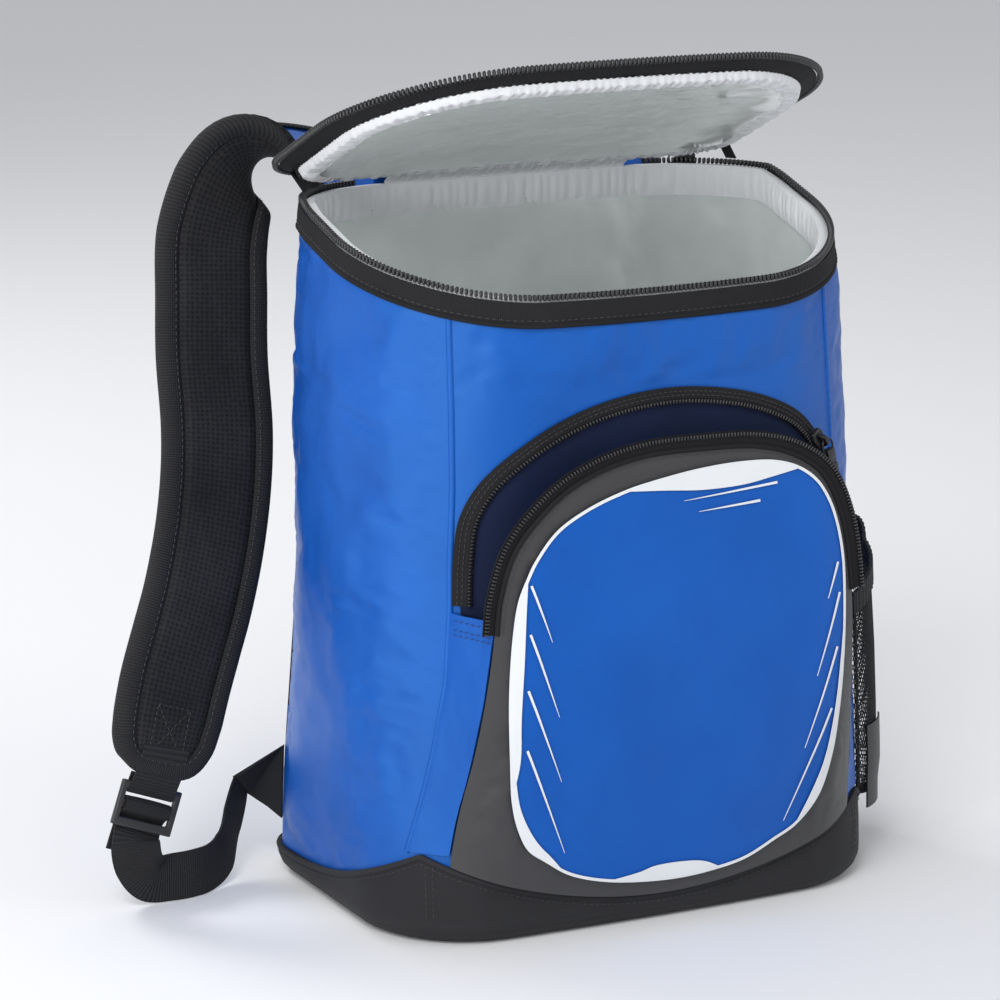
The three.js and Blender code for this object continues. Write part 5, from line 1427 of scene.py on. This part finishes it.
RIGHT_STRAP = np.array([
    (-0.72, 0.205, 0.915, 1, 1, 0, 0), (-0.71, 0.38, 0.965, 1, 1, 0, 0),
    (-0.70, 0.66, 1.012, 1, 1, 0, 0), (-0.68, 1.12, 1.012, 1, 1, 0, 0),
    (-0.65, 1.42, 0.970, 1, 1, 0, 0), (-0.60, 1.48, 0.880, 1, 1, 0, -0.05),
    (-0.54, 1.40, 0.750, 1, 1, 0, -0.08), (-0.47, 1.26, 0.620, 1, 1, 0, -0.08),
    (-0.42, 1.08, 0.490, 1, 1, 0, -0.06), (-0.38, 0.92, 0.380, 1, 1, 0, -0.06),
    (-0.36, 0.82, 0.310, 0.98, 1, 0, -0.05), (-0.35, 0.77, 0.270, 0.92, 1, 0, -0.05),
    (-0.345, 0.74, 0.245, 0.76, 1, 0, -0.05), (-0.34, 0.72, 0.230, 0.48, 1, 0, -0.05)])
LEFT_WEBBING = np.array([
    (0.850, -1.62, 0.068, 1, -0.75, 0.3, -0.50), (0.770, -1.52, 0.041, 1, -0.45, 0.1, -0.90),
    (0.660, -1.48, 0.038, 1, -0.10, 0, -1), (0.540, -1.44, 0.038, 1, 0, 0, -1),
    (0.420, -1.25, 0.039, 1, 0, 0, -1), (0.320, -0.98, 0.050, 1, 0.1, 0, -1),
    (0.230, -0.62, 0.088, 1, 0.1, 0.1, -1), (0.150, -0.36, 0.132, 1, 0, 0.1, -1)])
RIGHT_WEBBING = np.array([
    (-0.310, 0.70, 0.100, 1, 1, 0, -0.2), (-0.260, 0.75, 0.062, 1, 0.8, 0, -0.6),
    (-0.160, 0.86, 0.043, 1, 0.2, 0, -1), (-0.040, 0.92, 0.039, 1, 0, 0, -1),
    (0.070, 0.78, 0.042, 1, 0, 0, -1), (0.100, 0.43, 0.070, 1, 0, 0, -1),
    (0.045, 0.16, 0.115, 1, 0, 0, -1)])


def strap_places(rows, side):
    out, behind, up = rows[:, 0], rows[:, 1], rows[:, 2]
    return xyz(side * (BAG_WIDTH / 2 + out * STRAP_REACH), BACK + behind * STRAP_STAND, up * RIM_BACK)


def path(points, rows, side, count=900):
    """Centre, edge, face and width at even distances along a strap."""
    share = np.linspace(0, 1, count)
    centre = spline(points, share)
    ahead = unit(np.gradient(centre, axis=0))
    wanted = along(share, rows[:, 4:7])
    face = unit(np.cross(ahead, wanted)) * -side
    edge = unit(np.cross(face, ahead)) * -side
    width = along(share, rows[:, 3:4])[:, 0] * STRAP_WIDTH
    return {"centre": centre, "edge": edge, "face": face, "ahead": ahead, "width": width,
            "length": travelled(centre)}


def on_path(way, far, across, off):
    centre, edge, face, ahead = (read_off(far, way["length"], way[key])
                                 for key in ("centre", "edge", "face", "ahead"))
    beyond = np.maximum(far - way["length"][-1], 0)[..., None]
    return (centre + ahead * beyond + unit(edge) * np.asarray(across)[..., None]
            + unit(face) * np.asarray(off)[..., None])


def width_at(way, far):
    return np.interp(far, way["length"], way["width"])


STRAPS = {"left": (-1, LEFT_STRAP, LEFT_WEBBING), "right": (1, RIGHT_STRAP, RIGHT_WEBBING)}
WAYS = {name: path(strap_places(rows, side), rows, side) for name, (side, rows, _) in STRAPS.items()}
for name, way in WAYS.items():
    print(name, "strap length:", round(float(way["length"][-1])), "mm")

# %% [markdown]
# The pad swells between its bindings, where the foam is free, and is pressed thin under their stitches.

# %% Pads, covers and bindings
def facing(piece, way, sign):
    centres, normals = faces_of(piece)
    total = 0.0
    for centre, normal in zip(centres[::7], normals[::7]):
        nearest = np.linalg.norm(way["centre"] - centre / MM, axis=1).argmin()
        total += float(normal @ way["face"][nearest]) * sign
    if total < 0:
        edit(piece, bpy.ops.mesh.flip_normals)
    return piece


def bulge(across, half):
    inward = half - BINDING - np.abs(across)
    free = np.clip(inward / 6, 0, 1)
    return 3.5 + 1.5 * (1 - (1 - free) ** 2) - 0.7 * np.exp(-(inward + 0.4) ** 2)


def strap_loop(way, inset):
    """Edge of the strap, down one side, round its end and up the other, moved in by inset."""
    reach = way["length"][-1]
    far = np.concatenate([np.linspace(2, reach - 40, 120), np.linspace(reach - 39, reach, 50)])
    half = width_at(way, far) / 2
    tip = np.linspace(-1, 1, 16)[1:-1]
    bow = 1.5 * (1 - tip ** 2)
    flat = np.concatenate([xyz(far, -half), xyz(reach + bow, tip * half[-1]), xyz(far, half)[::-1]])
    for _ in range(12):
        flat[1:-1] = (flat[:-2] + 2 * flat[1:-1] + flat[2:]) / 4
    return beside(even_spline(flat, 420), -inset)


BINDING_WRAP = np.array([(9.2, -3.4), (8.0, -4.3), (4.5, -4.5), (1.5, -3.9), (0.1, -2.2), (-0.4, 0.4),
                         (0.3, 3.6), (1.8, 5.2), (4.2, 5.4), (6.2, 5.2)])

for name, (side, _, _) in STRAPS.items():
    way = WAYS[name]
    reach = way["length"][-1]

    def pad_place(u, v):
        far = 1 + (reach - 2) * u
        half = width_at(way, far) / 2 - 1.4
        across = (2 * v - 1) * half
        return on_path(way, far, across, -bulge(across, half + 1.4) + 0.5)

    def cover_place(u, v):
        far = 0.5 + (reach - 1) * u
        half = width_at(way, far) / 2 - 1.2
        across = (2 * v - 1) * half
        return on_path(way, far, across, bulge(across, half + 1.2) + 0.4)

    pad = facing(laid(f"strap_pad_{name}_mesh", 160, 30, pad_place, toward=(0, 0, 1)), way, -1)
    wrinkle(pad, 0.5, 30, 3.3 + side, (1, 1, 0.6))
    finished(soften(thicken(pad, 6.6)), AIR_MESH, "black_mesh", f"strap_pad_{name}")
    cover = facing(laid(f"strap_cover_{name}_cloth", 160, 26, cover_place, toward=(0, 0, 1)), way, 1)
    wrinkle(cover, 0.5, 26, 6.1 + side, (1, 1, 0.5))
    sewn(cover, 0.8, BLUE, "blue_cloth", [f"strap_cover_{name}"])

    def wrap_place(u, v):
        inset, off = along(v, BINDING_WRAP).T
        edge, inner = along(u, strap_loop(way, 0.0)), along(u, strap_loop(way, BINDING))
        flat = edge + (inner - edge) * (inset / BINDING)[:, None]
        ribs = 0.15 * np.sin(u * 2 * np.pi * 160) * (v * (len(BINDING_WRAP) - 1) < 1.5)
        return on_path(way, flat[:, 0], flat[:, 1], off - ribs)

    wrapped = laid(f"strap_binding_{name}_tape", 340, 14, wrap_place, toward=(0, 0, 1))
    facing(wrapped, way, -1)
    finished(soften(thicken(wrapped, 0.7, inward=False)), WEBBING, "black_webbing", f"strap_binding_{name}")
    rows = []
    for inset, off, sign in ((7.6, -5.3, -1), (4.8, 6.2, 1)):
        flat = strap_loop(way, inset)
        run = on_path(way, flat[:, 0], flat[:, 1], np.full(len(flat), off))
        normals = on_path(way, flat[:, 0], flat[:, 1], np.full(len(flat), off + sign)) - run
        rows.append(stitch_line(run, normals, 3.4, 0.0))
    square = [(reach - 34, -9), (reach - 34, 9), (reach - 10, 9), (reach - 10, -9), (reach - 34, -9)]
    for line in (square, square[0:3:2], square[1:4:2]):
        flat = np.concatenate([np.linspace(a, b, 12) for a, b in zip(line[:-1], line[1:])])
        run = on_path(way, flat[:, 0], flat[:, 1], np.full(len(flat), -4.75))
        normals = run - on_path(way, flat[:, 0], flat[:, 1], np.full(len(flat), -3.75))
        rows.append(stitch_line(run, normals, 3.0, 0.0))
    finished(joined(f"strap_stitches_{name}", rows), BLACK_THREAD, "black_webbing")

# %% [markdown]
# Webbing runs on from each pad through a two-slot buckle to the bag's lower corner.

# %% Webbing
TAB_LOOP = np.array([(-14, -5.2), (-6, -5.0), (0, -4.0), (5.0, -2.9), (9.0, -2.6), (11.4, -1.8), (12.0, 0),
                     (11.4, 1.8), (9.0, 2.6), (5.0, 2.6), (1.5, 2.0)])
BELT_LOOP = np.array([(42, 5.6), (30, 5.2), (20, 4.9), (15.0, 3.4), (13.9, 0.4), (15.4, -2.6), (17.6, -2.9),
                      (20.0, -2.3), (21.8, 0.6), (24.5, 2.8), (29.0, 2.6), (35.0, 0.9)])
for name, (side, _, rows) in STRAPS.items():
    way = WAYS[name]
    reach = way["length"][-1]

    def tab_place(u, v):
        far, off = along(u, TAB_LOOP).T
        return on_path(way, reach + far, (v - 0.5) * WEBBING_WIDTH, off)

    tab = facing(laid(f"strap_tab_{name}_webbing", 60, 10, tab_place, toward=(0, 0, 1)), way, -1)
    finished(soften(thicken(tab, 1.1)), WEBBING, "black_webbing", f"strap_tab_{name}")
    entry = on_path(way, reach + BELT_LOOP[:, 0], np.zeros(len(BELT_LOOP)), BELT_LOOP[:, 1])
    level = np.concatenate([[0, 0, 0, 1], way["edge"][-1]])
    run = path(np.concatenate([entry, strap_places(rows, side)]),
               np.concatenate([[level] * len(entry), rows]), side)

    def webbing_place(u, v):
        cup = 0.6 * np.sin(np.pi * v) * np.sin(np.pi * u)
        return on_path(run, run["length"][-1] * u, (v - 0.5) * WEBBING_WIDTH, -cup - 0.4)

    belt = facing(laid(f"strap_webbing_{name}_belt", 300, 10, webbing_place, toward=(0, 0, 1)), run, -1)
    wrinkle(belt, 0.3, 24, 2.1 + side, (1, 1, 1))
    finished(soften(thicken(belt, 1.2)), WEBBING, "black_webbing", f"strap_webbing_{name}")

# %% [markdown]
# ## Hard pieces
# Sliders, bridges, rings, pulls and buckles keep the exact forms of the solids. Each gets its faces joined,
# its edges rounded by a bevel, and its own finish.

# %% Sliders, pulls and buckles
def dressed(source, name, material, slot, bevel=0.25, smooth=0, angle=40):
    solid = bpy.data.objects[source]
    mesh = solid.data.copy()
    piece = bpy.data.objects.new(name, mesh)
    bpy.context.collection.objects.link(piece)
    set_points(piece, np.array([solid.matrix_world @ Vector(p) for p in points_of(piece)]))
    edit(piece, lambda: merge(0.00001), bpy.ops.mesh.tris_convert_to_quads, outward)
    if bevel:
        apply(piece, "BEVEL", width=bevel * MM, segments=2, limit_method="ANGLE",
              angle_limit=math.radians(30))
    if smooth:
        apply(piece, "SUBSURF", levels=smooth, render_levels=smooth)
    return finished(soften(piece, angle), material, slot, source)


for zip_name in ("pocket", "mouth"):
    dressed(f"{zip_name}_slider", f"{zip_name}_slider_body", SLIDER, "slider_metal", 0.45)
    dressed(f"{zip_name}_slider_bridge", f"{zip_name}_slider_arch", SLIDER, "slider_metal", 0.35)
    dressed(f"{zip_name}_pull_ring", f"{zip_name}_ring", SLIDER, "slider_metal", 0, 2, 80)
    dressed(f"{zip_name}_puller", f"{zip_name}_pull", PLASTIC, "black_plastic", 0.3)
for name in STRAPS:
    dressed(f"strap_buckle_{name}", f"strap_buckle_{name}_moulded", PLASTIC, "black_plastic", 0.7)
    dressed(f"strap_anchor_{name}", f"strap_anchor_{name}_webbing", WEBBING, "black_webbing", 0.4)
for side in ("left", "right"):
    dressed(f"zip_end_{side}", f"zip_end_{side}_tape", TAPE, "black_webbing", 0.2)

# %% [markdown]
# ## Floor and light
# A pale floor and four soft lights keep the cloth's own tones readable.

# %% Floor, lights and sizes
bpy.ops.mesh.primitive_plane_add(size=12, location=(0, 0, 0))
floor = bpy.context.object
floor.name = "floor"
pale = bpy.data.materials.new("pale_floor")
pale.use_nodes = True
pale_shader = pale.node_tree.nodes["Principled BSDF"]
pale_shader.inputs["Base Color"].default_value = (0.86, 0.86, 0.87, 1)
pale_shader.inputs["Roughness"].default_value = 0.9
floor.data.materials.append(pale)

world = bpy.data.worlds.new("studio")
bpy.context.scene.world = world
world.use_nodes = True
background = world.node_tree.nodes["Background"]
background.inputs["Color"].default_value = (0.95, 0.97, 1.0, 1)
background.inputs["Strength"].default_value = 0.55
bpy.context.scene.view_settings.view_transform = "Standard"

LIGHTS = {"key": ((-1.4, -1.7, 2.0), (0, 0, 0.15), 1.2, 34),
          "side": ((-1.75, -0.85, 0.45), (-0.1, -0.05, 0.18), 0.9, 16),
          "fill": ((1.7, -1.4, 1.1), (0, 0, 0.2), 1.6, 9),
          "rim": ((-0.6, 1.6, 1.6), (0, 0, 0.3), 1.0, 16)}
for name, (place, aim, size, power) in LIGHTS.items():
    light = bpy.data.lights.new(name, "AREA")
    light.shape, light.size, light.energy = "DISK", size, power
    lamp = bpy.data.objects.new(name, light)
    bpy.context.collection.objects.link(lamp)
    lamp.location = place
    lamp.rotation_euler = (Vector(aim) - Vector(place)).to_track_quat("-Z", "Y").to_euler()
